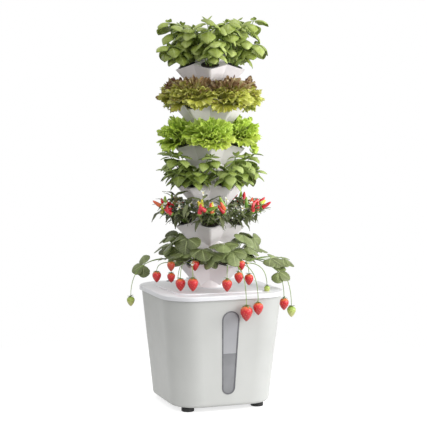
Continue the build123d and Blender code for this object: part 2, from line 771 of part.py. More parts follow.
def make_peppers(gap):
    """The upright peppers of one chilli plant, grown by a gap for the pockets that hold them."""
    middle, rise, half_width, half_height = crown_forms[chilli_tier - 1]
    pods = []
    for distance, swing in pepper_spots:
        surface = lip_height + rise + half_height * sqrt(1 - ((distance - middle) / half_width) ** 2)
        pod = spheroid(pepper_radius + gap, pepper_length / 2 + gap)
        pods.append(Rot(Z=swing) * Pos(distance, 0, surface + pepper_length / 2 - pepper_sink) * pod)
    return pods


def make_tiers():
    planter = make_planter()
    pipe = make_pipe()
    cup = make_cup()
    plug = make_plug()
    for tier in range(tier_count):
        name = f"tier_{tier + 1}"
        place = Pos(0, 0, tier_seats[tier]) * Rot(Z=tier_yaws[tier])
        save(f"{name}_planter", place * planter)
        save(f"{name}_riser_pipe", place * pipe)
        save(f"{name}_net_cups", [place * turn * (cup_plane * cup) for turn in lobe_turns])
        save(f"{name}_grow_plugs", [place * turn * (cup_plane * plug) for turn in lobe_turns])
        plant = make_plant(crown_forms[tier], tier > 0)
        if tier + 1 == chilli_tier:
            plant = carve(plant, make_peppers(slip))
            pods = make_peppers(0)
            save(f"{name}_peppers", [place * turn * pod for turn in lobe_turns for pod in pods])
        plants = [place * turn * plant for turn in lobe_turns]
        if tier + 1 == tier_count:
            plants = [carve(plants[lobe], stem_pockets(lobe)) for lobe in range(lobe_count)]
            save(f"{name}_strawberries", make_berries())
            save(f"{name}_runner_leaves", [make_leaf(*leaf) for leaf in runner_leaves])
        save(f"{name}_plants", plants)


def carve(plant, pockets):
    for pocket in pockets:
        plant -= pocket
    return plant


def stem_pockets(lobe):
    """The room that berry stems and leaf stalks need in one of the lowest crowns."""
    routes = []
    for (angle, radius, z), size in zip(berries, berry_sizes):
        routes.append((angle, berry_points(angle, radius, z, size)))
    for angle, radius, z, tilt in runner_leaves:
        routes.append((angle, leaf_points(angle, radius, z)))
    near = [points for angle, points in routes if nearest_lobe(angle) % lobe_count == lobe]
    return [tube(points, berry_stem_radius + slip) for points in near]


# Top cap and the water spreader that it holds
def make_top():
    base = tier_seats[0] + tier_pitch
    ledge = spigot_height + spreader_thickness + 2 * nest
    outer = disc(collar_radius, 0, cap_height)
    outer = fillet(outer.edges().group_by(Axis.Z)[-1], cap_dome_radius)
    inner = disc(bore_radius, 0, cap_height - cap_wall)
    inner = fillet(inner.edges().group_by(Axis.Z)[-1], cap_wall)
    cap = outer - inner - disc(spigot_radius + slip, 0, ledge)
    save("top_cap", Pos(0, 0, base) * cap)
    plate_low = spigot_height + nest
    plate_high = plate_low + spreader_thickness
    socket_radius = pipe_radius + slip
    spreader = disc(spigot_radius - nest, plate_low, plate_high)
    spreader += disc(socket_radius + pipe_socket_wall, -pipe_socket_below, plate_high)
    spreader += disc(pipe_radius, plate_low, plate_high + spreader_nozzle)
    spreader -= disc(socket_radius, -pipe_socket_below, pipe_end + nest)
    spreader -= disc(pipe_bore, -pipe_socket_below, plate_high + spreader_nozzle)
    hole_place = (bore_radius + socket_radius) / 2
    for place in PolarLocations(hole_place, spreader_holes).locations:
        spreader -= place * disc(spreader_hole_radius, plate_low, plate_high)
    save("water_spreader", Pos(0, 0, base) * spreader)


make_feet()
make_tub()
make_lid()
make_hatch()
make_base_socket()
make_delivery_line()
make_pump()
make_tiers()
make_top()
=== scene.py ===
import math
import random
from functools import partial
from typing import NamedTuple

import bpy
import numpy as np
from mathutils import Euler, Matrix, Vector


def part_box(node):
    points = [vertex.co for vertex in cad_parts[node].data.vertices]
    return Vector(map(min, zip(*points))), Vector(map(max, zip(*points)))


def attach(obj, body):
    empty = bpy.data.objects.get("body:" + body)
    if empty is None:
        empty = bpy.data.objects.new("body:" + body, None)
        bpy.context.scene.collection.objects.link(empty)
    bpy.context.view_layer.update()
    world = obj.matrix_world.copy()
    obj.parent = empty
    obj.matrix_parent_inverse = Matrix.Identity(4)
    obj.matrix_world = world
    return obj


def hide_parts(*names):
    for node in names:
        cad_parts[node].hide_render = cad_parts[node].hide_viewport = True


# The looks of the hydroponic tower: finishes for its plastic, rubber and metal pieces, the plants
# with their flowers and fruits, the water in the tub, the floor, the lights and the camera.
# Metres and radians, +Z up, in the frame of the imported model.

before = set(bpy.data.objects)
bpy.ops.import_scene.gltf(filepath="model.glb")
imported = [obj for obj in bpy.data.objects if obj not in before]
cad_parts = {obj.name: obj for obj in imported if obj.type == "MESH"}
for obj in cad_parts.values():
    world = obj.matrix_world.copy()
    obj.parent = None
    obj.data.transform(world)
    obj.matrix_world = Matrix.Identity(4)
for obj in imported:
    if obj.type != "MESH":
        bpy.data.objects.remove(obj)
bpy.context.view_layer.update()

# The tower's sizes that the plants and the water are set against
LOBES = 5
HALF_LOBE = math.pi / LOBES
TOWER_TURN = math.radians(-110)  # direction of a lobe of the highest planter
LIP_HEIGHT = 0.060  # of a lobe's tip over the planter's seat
TIP_RADIUS = 0.104
FOOT_TIP_RADIUS = 0.046
VALLEY_SHARE = 0.675  # of the valley's radius to the tip's at one height
VALLEY_RISE = 0.015  # of the rim in a valley over a lobe's tip
ROOF_SLOPE = 0.382
COLUMN_RADIUS = 0.050
CUP_PLACE = 0.069  # from the axis to the middle of a cup's mouth
LEAF_GAP = 0.002  # between leaves and the planters
LIFT_BIAS = 1.2  # how much rather a leaf is lifted off its planter than pushed out
LEAF_THICKNESS = 0.0005
WATER_LEVEL = 0.163

# Material numbers in a plant's mesh
LEAF, STEM, SKIN, SEED, PETAL, POLLEN = range(6)


class LeafForm(NamedTuple):
    """The outline and the relief of one kind of leaf, as shares of its length."""
    width: float
    base: float  # under 1 puts the widest place nearer the stalk
    tip: float  # over 1 makes the ends pointed, under 1 round
    cup: float  # how far the edges turn up, or down if negative
    stalk: float = 0.0  # the narrow stretch before the blade
    teeth: int = 0
    tooth: float = 0.0
    wave: float = 0.0  # of the edges up and down
    pucker: float = 0.0  # of the blade between its veins
    rows: int = 15
    columns: int = 9


BASIL = LeafForm(0.78, 0.82, 0.66, -0.42, stalk=0.09, wave=0.02, pucker=0.016)
MINT = LeafForm(0.68, 0.78, 0.80, -0.20, stalk=0.08, teeth=7, tooth=0.07, pucker=0.016, rows=22)
CHILLI = LeafForm(0.24, 0.80, 1.15, 0.22, stalk=0.14, wave=0.02, rows=12, columns=5)
BERRY_LEAF = LeafForm(0.96, 1.05, 0.52, -0.20, stalk=0.10, teeth=9, tooth=0.08, pucker=0.014,
                      rows=28, columns=11)
SEPAL = LeafForm(0.36, 0.70, 1.0, 0.1, rows=6, columns=5)
ROUND_PETAL = LeafForm(0.95, 1.15, 0.5, 0.18, rows=7, columns=7)
STAR_PETAL = LeafForm(0.52, 0.90, 0.8, 0.12, rows=6, columns=5)


class FanForm(NamedTuple):
    """A lettuce leaf: a fan on a broad rib, flat within and ruffled towards its rim."""
    spread: float  # half the fan's angle
    waves: tuple  # folds across the rim and their heights, from the broad ones to the fine
    jags: tuple  # notches across the rim and their depths
    cup: float
    rows: int = 17
    columns: int = 89


RED_LETTUCE = FanForm(
    spread=0.92,
    waves=((1.4, 0.055), (5.5, 0.046), (13.5, 0.026)),
    jags=((7.2, 0.040), (17.0, 0.030)),
    cup=0.10,
)
GREEN_LETTUCE = FanForm(
    spread=0.98,
    waves=((1.2, 0.060), (6.2, 0.052), (15.0, 0.028)),
    jags=((8.1, 0.036), (18.0, 0.028)),
    cup=0.12,
)

# Relief of the leaves, and values that leaves and stems share
LEAST_HALF_WIDTH = 0.018  # of a stalk, as a share of the leaf's length
VEINS = 6.0  # side veins along a blade
VEIN_SLANT = 1.6
EDGE_WAVES = 2.3  # along a blade
FAN_START = 0.05  # where a fan's first row lies on its rib
RUFFLE_FROM = 0.35  # where a fan begins to ruffle
FAN_ROUNDING = 0.18  # how much shorter a fan is at its sides
FAN_FOOT = 0.28  # share of its spread that a fan has at its foot
WAVE_DRIFT = 0.7  # unevenness of the folds
BLISTER = 0.012  # height of the blisters on a fan
BLISTERS_ALONG, BLISTERS_ACROSS = 17, 11
PHASE_RANGE = 6.28
LEAST_BEND = 1e-3
SLANTED = (0.31, 0.53, 0.79)  # a direction that no stem starts along


class Tier:
    """One planter of the tower, numbered from the top: its heights and the way its lobes point."""

    def __init__(self, number):
        self.body = f"tier_{number}"
        self.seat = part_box(f"tier_{number}_planter")[0].z
        self.lip = self.seat + LIP_HEIGHT
        self.mouth = self.lip + (TIP_RADIUS - CUP_PLACE) * ROOF_SLOPE
        self.turn = TOWER_TURN + HALF_LOBE * ((number - 1) % 2)
        self.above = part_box(f"tier_{number - 1}_planter")[0].z if number > 1 else None

    def lobe(self, index):
        return self.turn + 2 * HALF_LOBE * index

    def cup(self, index, out, aside):
        """A point in a cup's mouth, out and aside from its middle."""
        angle = self.lobe(index)
        reach = CUP_PLACE + out
        x = reach * math.cos(angle) - aside * math.sin(angle)
        y = reach * math.sin(angle) + aside * math.cos(angle)
        return np.array([x, y, self.mouth - out * ROOF_SLOPE])


def polar(radius, angle, z):
    """A point by its distance from the axis, its angle and its height."""
    return np.array([radius * math.cos(angle), radius * math.sin(angle), z])


def tower_point(degrees, radius, z):
    """The same with the angle in degrees from the front lobes."""
    return polar(radius, TOWER_TURN + math.radians(degrees), z)


def off_lobe(angle, turn):
    """The angle from the nearest lobe of a planter whose lobes start at turn."""
    return np.abs((angle - turn + HALF_LOBE) % (2 * HALF_LOBE) - HALF_LOBE)


def planter_radius(off, height):
    """Distance from the axis to a planter's outside, at an angle from a lobe and over its seat."""
    ridge = FOOT_TIP_RADIUS + (TIP_RADIUS - FOOT_TIP_RADIUS) * height / LIP_HEIGHT
    valley = VALLEY_SHARE * ridge
    edge = ridge * np.sin(off) + valley * np.sin(HALF_LOBE - off)
    return np.maximum(ridge * valley * math.sin(HALF_LOBE) / edge, COLUMN_RADIUS)


def kept_clear(points, tier):
    """Moves leaf points out from the planter above them and up or out from their own planter."""
    x, y, z = points[..., 0], points[..., 1], points[..., 2]
    radius = np.hypot(x, y) + 1e-9
    angle = np.arctan2(y, x)
    top = LIP_HEIGHT + VALLEY_RISE
    wanted = np.full_like(radius, COLUMN_RADIUS + LEAF_GAP)
    if tier.above is not None:
        height = z - tier.above
        beside = (height > -2 * LEAF_GAP) & (height < top)
        star = planter_radius(off_lobe(angle, tier.turn - HALF_LOBE), np.clip(height, 0, top))
        wanted = np.where(beside, np.maximum(wanted, star + LEAF_GAP), wanted)
    off = off_lobe(angle, tier.turn)
    height = z - tier.seat
    star = planter_radius(off, np.clip(height, 0, top)) + LEAF_GAP
    ahead = np.maximum(radius, wanted) * np.cos(off)
    roof = LIP_HEIGHT + (TIP_RADIUS - ahead) * ROOF_SLOPE + LEAF_GAP
    inside = (height < roof) & (radius < star)
    lifted = inside & (roof - height < LIFT_BIAS * (star - radius))
    z = np.where(lifted, tier.seat + roof, z)
    wanted = np.where(inside & ~lifted, np.maximum(wanted, star), wanted)
    grown = np.maximum(radius, wanted) / radius
    return np.stack([x * grown, y * grown, z], axis=-1)


def smooth(value, low, high):
    """0 below low, 1 above high and an even S between them."""
    share = np.clip((value - low) / (high - low), 0, 1)
    return share * share * (3 - 2 * share)


def leaf_grid(form, start):
    """Shares along and across a leaf, as grids of its rows and columns."""
    along = np.linspace(start, 1, form.rows)
    across = np.linspace(-1, 1, form.columns)
    return np.meshgrid(along, across, indexing="ij")


def flat_leaf(form, phase):
    """A leaf laid flat: shares across and along it, and its width, length and relief there."""
    along, across = leaf_grid(form, 0)
    blade = np.clip((along - form.stalk) / (1 - form.stalk), 0, 1)
    half = form.width / 2 * np.sin(math.pi * blade ** form.base) ** form.tip
    if form.teeth:
        half = half * (1 + form.tooth * (1 - 2 * ((form.teeth * blade) % 1)) * np.abs(across) ** 2)
    half = np.maximum(half, LEAST_HALF_WIDTH)
    veins = np.sin(2 * math.pi * (VEINS * along - VEIN_SLANT * np.abs(across)))
    relief = form.cup * half * across ** 2
    relief += form.wave * across ** 2 * np.sin(2 * math.pi * EDGE_WAVES * along + phase)
    relief += form.pucker * veins * np.abs(across) * (1 - across ** 2) * 2
    return across, along, across * half, along, relief


def flat_fan(form, phase):
    """The same for a lettuce leaf, whose rows run out to its rim and whose columns fan."""
    along, across = leaf_grid(form, FAN_START)
    rim = smooth(along, RUFFLE_FROM, 1.0)
    reach = along * (1 - FAN_ROUNDING * across ** 2)
    for number, (count, depth) in enumerate(form.jags, start=1):
        reach *= 1 + depth * rim ** 2 * np.sin(math.pi * count * across + number * phase)
    angle = across * form.spread * (FAN_FOOT + (1 - FAN_FOOT) * along)
    relief = form.cup * across ** 2 * along
    drift = WAVE_DRIFT * np.sin(3 * across + phase)
    for number, (count, height) in enumerate(form.waves, start=1):
        swing = math.pi * count * across + (number + 1) * phase + drift
        relief += height * rim ** number * np.sin(swing)
    blisters = np.sin(BLISTERS_ALONG * along + 5 * phase) * np.sin(BLISTERS_ACROSS * across + phase)
    relief += BLISTER * blisters
    return across, along, reach * np.sin(angle), reach * np.cos(angle), relief


def laid(x, y, relief, base, heading, pitch, bend, length, roll=0.0):
    """Sets a flat leaf at its base: it leaves towards heading at a pitch, and bends down as it goes."""
    bend = bend if abs(bend) > LEAST_BEND else LEAST_BEND
    slant = pitch - bend * y
    side = x * math.cos(roll) - relief * math.sin(roll)
    off = x * math.sin(roll) + relief * math.cos(roll)
    forward = (math.sin(pitch) - np.sin(slant)) / bend - off * np.sin(slant)
    up = (np.cos(slant) - math.cos(pitch)) / bend + off * np.cos(slant)
    ahead = np.array([math.cos(heading), math.sin(heading), 0])
    left = np.array([-math.sin(heading), math.cos(heading), 0])
    upright = np.array([0, 0, 1])
    moved = forward[..., None] * ahead + side[..., None] * left + up[..., None] * upright
    return base + length * moved


def stem_path(start, heading, pitch, bend, length, count=9):
    """Points along a stem that bends as a leaf does."""
    y = np.linspace(0, 1, count)
    return laid(0 * y, y, 0 * y, start, heading, pitch, bend, length)


def along_path(path, share):
    """A point at a share of a path's way."""
    place = share * (len(path) - 1)
    step = min(int(place), len(path) - 2)
    return path[step] + (path[step + 1] - path[step]) * (place - step)


def curve_through(start, middle, end, count):
    """A smooth bow from start to end, drawn towards middle."""
    t = np.linspace(0, 1, count)[:, None]
    return (1 - t) ** 2 * start + 2 * t * (1 - t) * middle + t ** 2 * end


def add_object(name, data):
    """A new object in the scene."""
    item = bpy.data.objects.new(name, data)
    bpy.context.scene.collection.objects.link(item)
    return item


class Growth:
    """The mesh of one piece that grows: leaves, stems, flowers and fruits, gathered in one place."""

    def __init__(self, tier, seed):
        self.tier = tier
        self.rng = random.Random(seed)
        self.points, self.marks, self.under, self.faces, self.looks = [], [], [], [], []
        self.count = 0

    def sway(self, amount):
        """A random value to either side of zero."""
        return self.rng.uniform(-amount, amount)

    def add(self, points, faces, look, marks):
        self.points.append(points)
        self.marks.append(marks)
        self.under.append(np.zeros(len(points)))
        self.faces.extend([tuple(int(i) + self.count for i in face) for face in faces])
        self.looks.extend([look] * len(faces))
        self.count += len(points)

    def add_sheet(self, grid, across, along, tone, look):
        """A thin closed sheet over a grid of points."""
        rows, columns = across.shape
        normal = np.cross(np.gradient(grid, axis=0), np.gradient(grid, axis=1))
        normal /= np.linalg.norm(normal, axis=2, keepdims=True) + 1e-12
        count = rows * columns
        index = np.arange(count).reshape(rows, columns)
        a, b, c, d = index[:-1, :-1], index[1:, :-1], index[1:, 1:], index[:-1, 1:]
        upper = np.stack([a, b, c, d], axis=-1).reshape(-1, 4)
        lower = np.stack([a, d, c, b], axis=-1).reshape(-1, 4) + count
        edge = np.concatenate([index[0], index[1:, -1], index[-1, -2::-1], index[-2:0:-1, 0]])
        after = np.roll(edge, -1)
        wall = np.stack([edge, after, after + count, edge + count], axis=-1)
        half = LEAF_THICKNESS / 2 * normal
        both = np.concatenate([(grid + half).reshape(-1, 3), (grid - half).reshape(-1, 3)])
        marks = np.stack([across, along, np.full_like(across, tone)], axis=-1).reshape(-1, 3)
        self.add(both, np.concatenate([upper, lower, wall]), look, np.concatenate([marks, marks]))
        self.under[-1][count:] = 1.0

    def add_leaf(self, form, base, heading, pitch, bend, length, tone, roll=0.0, look=LEAF, clear=True):
        flat = flat_fan if isinstance(form, FanForm) else flat_leaf
        across, along, x, y, relief = flat(form, self.rng.uniform(0, PHASE_RANGE))
        grid = laid(x, y, relief, np.asarray(base), heading, pitch, bend, length, roll)
        grid = kept_clear(grid, self.tier) if clear else grid
        self.add_sheet(grid, across, along, tone, look)

    def add_stem(self, path, foot, tip):
        self.add_tube(path, np.linspace(foot, tip, len(path)), STEM)

    def add_tube(self, path, radii, look, tone=0.5, sides=6):
        """A closed round tube along a path, with one radius for each of its points."""
        path = np.asarray(path, float)
        ways = np.gradient(path, axis=0)
        ways /= np.linalg.norm(ways, axis=1, keepdims=True) + 1e-12
        side = np.cross(ways[0], SLANTED)
        turns = np.linspace(0, 2 * math.pi, sides, endpoint=False)[:, None]
        loops = []
        for point, way, radius in zip(path, ways, radii):
            side = side - way * side.dot(way)
            side = side / np.linalg.norm(side)
            loops.append(point + radius * (np.cos(turns) * side + np.sin(turns) * np.cross(way, side)))
        rings = len(path)
        index = np.arange(rings * sides).reshape(rings, sides)
        after = np.roll(index, -1, axis=1)
        skin = np.stack([index[:-1], after[:-1], after[1:], index[1:]], axis=-1).reshape(-1, 4)
        faces = [tuple(face) for face in skin] + [tuple(index[0][::-1]), tuple(index[-1])]
        share = np.repeat(np.linspace(0, 1, rings), sides)
        around = np.tile(turns[:, 0] / math.pi - 1, rings)
        marks = np.stack([around, share, np.full_like(share, tone)], axis=-1)
        self.add(np.concatenate(loops), faces, look, marks)

    def build(self, name, looks, body, slot, *nodes):
        """Makes the piece and sets it on its body, in the place of the solids that it stands for."""
        mesh = bpy.data.meshes.new(name)
        mesh.from_pydata(np.concatenate(self.points).tolist(), [], self.faces)
        marks = mesh.attributes.new("leaf", "FLOAT_VECTOR", "POINT")
        marks.data.foreach_set("vector", np.concatenate(self.marks).ravel())
        under = mesh.attributes.new("under", "FLOAT", "POINT")
        under.data.foreach_set("value", np.concatenate(self.under))
        used = sorted(set(self.looks))
        for look in used:
            mesh.materials.append(looks[look])
        numbers = {look: number for number, look in enumerate(used)}
        mesh.polygons.foreach_set("material_index", [numbers[look] for look in self.looks])
        mesh.polygons.foreach_set("use_smooth", [True] * len(self.looks))
        mesh.update()
        piece = add_object(name, mesh)
        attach(piece, body)
        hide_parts(*nodes)


# Finishes
def colour(red, green, blue):
    """A colour as a screen shows it, from 0 to 255, in the linear values that shaders take."""
    shares = [value / 255 for value in (red, green, blue)]
    return (*[s / 12.92 if s <= 0.04045 else ((s + 0.055) / 1.055) ** 2.4 for s in shares], 1.0)


class Finish:
    """One material, with short ways to add nodes to it."""

    def __init__(self, name, **values):
        self.material = bpy.data.materials.new(name)
        self.material.use_nodes = True
        self.tree = self.material.node_tree
        self.shader = self.tree.nodes["Principled BSDF"]
        for socket, value in values.items():
            self.put(self.shader.inputs[socket.replace("_", " ").title().replace("Ior", "IOR")], value)

    def put(self, socket, value):
        if isinstance(value, bpy.types.NodeSocket):
            self.tree.links.new(value, socket)
        else:
            socket.default_value = value

    def math(self, operation, first, second=0.0, third=0.0):
        node = self.tree.nodes.new("ShaderNodeMath")
        node.operation = operation
        for socket, value in zip(node.inputs, (first, second, third)):
            self.put(socket, value)
        return node.outputs[0]

    def place(self):
        return self.tree.nodes.new("ShaderNodeTexCoord").outputs["Object"]

    def noise(self, scale, detail, stretch=(1, 1, 1)):
        scaled = self.tree.nodes.new("ShaderNodeMapping")
        scaled.inputs["Scale"].default_value = stretch
        self.put(scaled.inputs["Vector"], self.place())
        node = self.tree.nodes.new("ShaderNodeTexNoise")
        node.inputs["Scale"].default_value = scale
        node.inputs["Detail"].default_value = detail
        self.put(node.inputs["Vector"], scaled.outputs["Vector"])
        return node.outputs["Fac"]

    def swing(self, scale, detail, amount):
        """Noise that swings round zero."""
        return self.math("MULTIPLY_ADD", self.noise(scale, detail), amount, -amount / 2)

    def spots(self, scale):
        node = self.tree.nodes.new("ShaderNodeTexVoronoi")
        node.inputs["Scale"].default_value = scale
        self.put(node.inputs["Vector"], self.place())
        return node.outputs["Distance"]

    def ramp(self, value, *stops):
        """Colours or greys that follow a value, each stop with its place."""
        node = self.tree.nodes.new("ShaderNodeValToRGB")
        while len(node.color_ramp.elements) < len(stops):
            node.color_ramp.elements.new(0.5)
        for element, (place, shade) in zip(node.color_ramp.elements, stops):
            element.position = place
            element.color = colour(*shade) if isinstance(shade, tuple) else (shade, shade, shade, 1)
        self.put(node.inputs["Fac"], value)
        return node.outputs["Color"]

    def between(self, value, low, high):
        return self.ramp(value, (0.3, low), (0.7, high))

    def mix(self, share, first, second):
        """A blend of two colours, by the colour sockets of a mix node."""
        node = self.tree.nodes.new("ShaderNodeMix")
        node.data_type = "RGBA"
        for number, value in ((0, share), (6, first), (7, second)):
            self.put(node.inputs[number], value)
        return node.outputs[2]

    def attribute(self, name):
        node = self.tree.nodes.new("ShaderNodeAttribute")
        node.attribute_name = name
        return node

    def leaf_marks(self):
        """Across, along and tone, as the leaves' meshes carry them."""
        parts = self.tree.nodes.new("ShaderNodeSeparateXYZ")
        self.put(parts.inputs[0], self.attribute("leaf").outputs["Vector"])
        return parts.outputs[0], parts.outputs[1], parts.outputs[2]

    def height(self):
        parts = self.tree.nodes.new("ShaderNodeSeparateXYZ")
        self.put(parts.inputs[0], self.place())
        return parts.outputs[2]

    def base(self, value):
        self.put(self.shader.inputs["Base Color"], value)

    def rough(self, value):
        self.put(self.shader.inputs["Roughness"], value)

    def bump(self, height, distance, strength=1.0):
        node = self.tree.nodes.new("ShaderNodeBump")
        node.inputs["Distance"].default_value = distance
        node.inputs["Strength"].default_value = strength
        self.put(node.inputs["Height"], height)
        self.put(self.shader.inputs["Normal"], node.outputs["Normal"])


def plastic(name, light, dark, low_rough, high_rough):
    """Moulded plastic: a faint cloudiness in its colour and a fine moulded grain."""
    finish = Finish(name)
    clouds = finish.noise(9.0, 4.0)
    finish.base(finish.ramp(clouds, (0.30, dark), (0.65, light)))
    finish.rough(finish.between(finish.noise(60.0, 2.0), low_rough, high_rough))
    finish.bump(finish.noise(900.0, 2.0), 0.00004)
    return finish.material


def rubber(name, light, dark):
    """Dull rubber, dusty in patches."""
    finish = Finish(name)
    finish.base(finish.ramp(finish.noise(70.0, 5.0), (0.35, dark), (0.75, light)))
    finish.rough(finish.between(finish.noise(45.0, 3.0), 0.6, 0.85))
    finish.bump(finish.noise(1400.0, 2.0), 0.00006)
    return finish.material


def metal(name):
    """Steel turned on a lathe, with fine marks round it."""
    finish = Finish(name, metallic=1.0)
    marks = finish.noise(500.0, 2.0, stretch=(0.2, 0.2, 4))
    finish.base(finish.between(marks, (150, 152, 155), (200, 202, 205)))
    finish.rough(finish.between(marks, 0.25, 0.4))
    finish.bump(marks, 0.00003)
    return finish.material


def foam(name):
    """Damp coir and peat foam: dark, open and crumbly."""
    finish = Finish(name)
    crumbs = finish.spots(420.0)
    finish.base(finish.ramp(crumbs, (0.1, (20, 15, 10)), (0.6, (70, 52, 36))))
    finish.rough(finish.ramp(crumbs, (0.1, 0.95), (0.6, 0.8)))
    finish.bump(crumbs, 0.0012)
    return finish.material


def clear_window(name):
    """Frosted clear plastic, with the shade of the water behind it painted darker up to its level and a
    darker painted line just over it.
    """
    finish = Finish(name, transmission_weight=0.25, ior=1.46)
    ripple = finish.math("MULTIPLY_ADD", finish.noise(60.0, 2.0), 0.002, WATER_LEVEL - 0.001)
    over = finish.math("SUBTRACT", finish.height(), ripple)
    over_water_line = finish.math("MULTIPLY", over, 400.0)
    # painted shade of the water behind: darker below its level, darkest in a thin line just over it, light
    # above
    painted_water_shade = finish.ramp(over_water_line, (0.0, (120, 120, 123)), (0.5, (108, 108, 111)), (1.0, (190, 190, 194)))
    finish.base(finish.mix(finish.noise(14.0, 3.0), painted_water_shade, colour(168, 169, 172)))
    finish.rough(finish.between(finish.noise(120.0, 2.0), 0.14, 0.24))
    finish.bump(finish.noise(300.0, 2.0), 0.00002)
    return finish.material


def water(name):
    finish = Finish(name, transmission_weight=0.8, ior=1.33)
    clouds = finish.noise(12.0, 3.0)
    finish.base(finish.between(clouds, (150, 165, 165), (190, 202, 200)))
    finish.rough(finish.between(clouds, 0.02, 0.06))
    finish.bump(finish.noise(40.0, 2.0), 0.0006)
    return finish.material


def leaf_finish(name, dark, middle, light, rib, rim, rim_from, low_rough, high_rough, veins=VEINS, fan=False):
    """A leaf: patchy shades, a pale midrib, side veins, a rim of its own and a paler underside."""
    rib, rim = colour(*rib), colour(*rim)
    finish = Finish(name)
    across, along, tone = finish.leaf_marks()
    width = finish.math("ABSOLUTE", across)
    patches = finish.swing(48.0, 3.0, 0.9)
    shade = finish.math("ADD", tone, patches)
    body = finish.ramp(shade, (0.05, dark), (0.5, middle), (0.95, light))
    if fan:
        wave = finish.math("FRACT", finish.math("MULTIPLY", across, veins))
        edge = finish.math("MAXIMUM", along, finish.math("MULTIPLY", width, along))
    else:
        slant = finish.math("MULTIPLY_ADD", width, -VEIN_SLANT, finish.math("MULTIPLY", along, veins))
        wave = finish.math("FRACT", slant)
        edge = width
    vein = finish.ramp(wave, (0.0, 1.0), (0.16, 0.0), (0.9, 0.0), (1.0, 1.0))
    spread = finish.swing(90.0, 3.0, 0.3)
    ruddy = finish.math("MULTIPLY_ADD", tone, -0.45, 0.24) if fan else 0.0
    edge = finish.math("ADD", finish.math("ADD", edge, spread), ruddy)
    tipped = finish.ramp(edge, (rim_from, 0.0), (min(rim_from + 0.3, 1.0), 1.0))
    body = finish.mix(tipped, body, rim)
    body = finish.mix(finish.math("MULTIPLY", vein, 0.28), body, rib)
    midrib = finish.ramp(width, (0.02, 1.0), (0.09, 0.0))
    faded = finish.math("MULTIPLY", midrib, finish.ramp(along, (0.3, 0.9), (1.0, 0.2)))
    body = finish.mix(faded, body, rib)
    under = finish.math("MULTIPLY", finish.attribute("under").outputs["Fac"], 0.14 if fan else 0.35)
    finish.base(finish.mix(under, body, rib))
    finish.rough(finish.ramp(patches, (0.0, low_rough), (0.4, high_rough)))
    raised = finish.math("MULTIPLY_ADD", vein, -0.5, finish.noise(260.0, 2.0))
    finish.bump(raised, 0.0007, 0.6)
    return finish.material


def stem_finish(name, light, dark):
    finish = Finish(name)
    streaks = finish.noise(160.0, 3.0, stretch=(1, 1, 0.25))
    finish.base(finish.between(streaks, dark, light))
    finish.rough(finish.between(streaks, 0.45, 0.6))
    finish.bump(streaks, 0.0002)
    return finish.material


def berry_finish(name):
    """Strawberry skin: ripe red, paler at the shoulders, or green where its tone is low."""
    finish = Finish(name, coat_weight=0.25, coat_roughness=0.12)
    _, along, tone = finish.leaf_marks()
    down = finish.math("ADD", along, finish.swing(70.0, 2.0, 0.3))
    ripe = finish.ramp(down, (0.0, (240, 126, 66)), (0.22, (208, 26, 38)), (1.0, (184, 14, 32)))
    green = finish.ramp(down, (0.1, (150, 176, 70)), (1.0, (206, 204, 136)))
    finish.base(finish.mix(finish.ramp(tone, (0.3, 0.0), (0.8, 1.0)), green, ripe))
    finish.rough(finish.between(finish.noise(220.0, 2.0), 0.28, 0.42))
    finish.bump(finish.spots(330.0), 0.0006)
    return finish.material


def pepper_finish(name):
    """Glossy chilli skin that ripens from green through yellow and orange to red with its tone."""
    finish = Finish(name, coat_weight=0.4, coat_roughness=0.08)
    _, along, tone = finish.leaf_marks()
    blush = finish.swing(60.0, 2.0, 0.12)
    ripe = finish.math("ADD", tone, finish.math("MULTIPLY_ADD", along, 0.12, blush))
    shades = [(0.05, (98, 148, 36)), (0.30, (206, 210, 46)), (0.52, (242, 128, 30)), (0.80, (214, 26, 44))]
    finish.base(finish.ramp(ripe, *shades))
    finish.rough(finish.between(finish.noise(150.0, 2.0), 0.2, 0.32))
    finish.bump(finish.noise(90.0, 2.0), 0.0004)
    return finish.material


def petal_finish(name, light, dark):
    finish = Finish(name)
    finish.base(finish.between(finish.noise(120.0, 3.0), dark, light))
    finish.rough(finish.between(finish.noise(200.0, 2.0), 0.5, 0.65))
    finish.bump(finish.noise(300.0, 2.0), 0.0003)
    return finish.material


green_stem = stem_finish("green_stem", (156, 182, 92), (98, 128, 50))
petal_white = petal_finish("petal_white", (250, 250, 244), (228, 232, 214))
pollen_yellow = petal_finish("pollen_yellow", (236, 204, 70), (190, 160, 40))
seed_gold = petal_finish("seed_gold", (236, 196, 96), (190, 140, 60))

plant_leaves = {
    "basil": leaf_finish(
        "basil_green", (106, 120, 38), (152, 168, 74), (194, 208, 126),
        (184, 200, 124), (132, 154, 64), 0.75, 0.34, 0.5),
    "red_lettuce": leaf_finish(
        "red_lettuce_leaf", (104, 76, 26), (168, 166, 56), (206, 212, 100),
        (238, 234, 170), (112, 64, 38), 0.93, 0.38, 0.52, veins=4.0, fan=True),
    "green_lettuce": leaf_finish(
        "green_lettuce_leaf", (106, 128, 28), (170, 194, 56), (214, 228, 108),
        (222, 236, 146), (184, 212, 76), 0.8, 0.36, 0.5, veins=4.0, fan=True),
    "mint": leaf_finish(
        "mint_green", (90, 106, 34), (140, 158, 68), (184, 200, 124),
        (172, 190, 118), (118, 144, 62), 0.8, 0.4, 0.55, veins=7.0),
    "chilli": leaf_finish(
        "chilli_green", (54, 60, 36), (92, 100, 60), (142, 150, 104),
        (150, 158, 112), (88, 98, 58), 0.9, 0.36, 0.5, veins=7.0),
    "strawberry": leaf_finish(
        "strawberry_green", (72, 78, 42), (114, 126, 74), (156, 172, 116),
        (164, 176, 120), (116, 130, 74), 0.85, 0.4, 0.56, veins=7.0),
}
pepper_skin = pepper_finish("pepper_skin")
strawberry_skin = berry_finish("strawberry_skin")


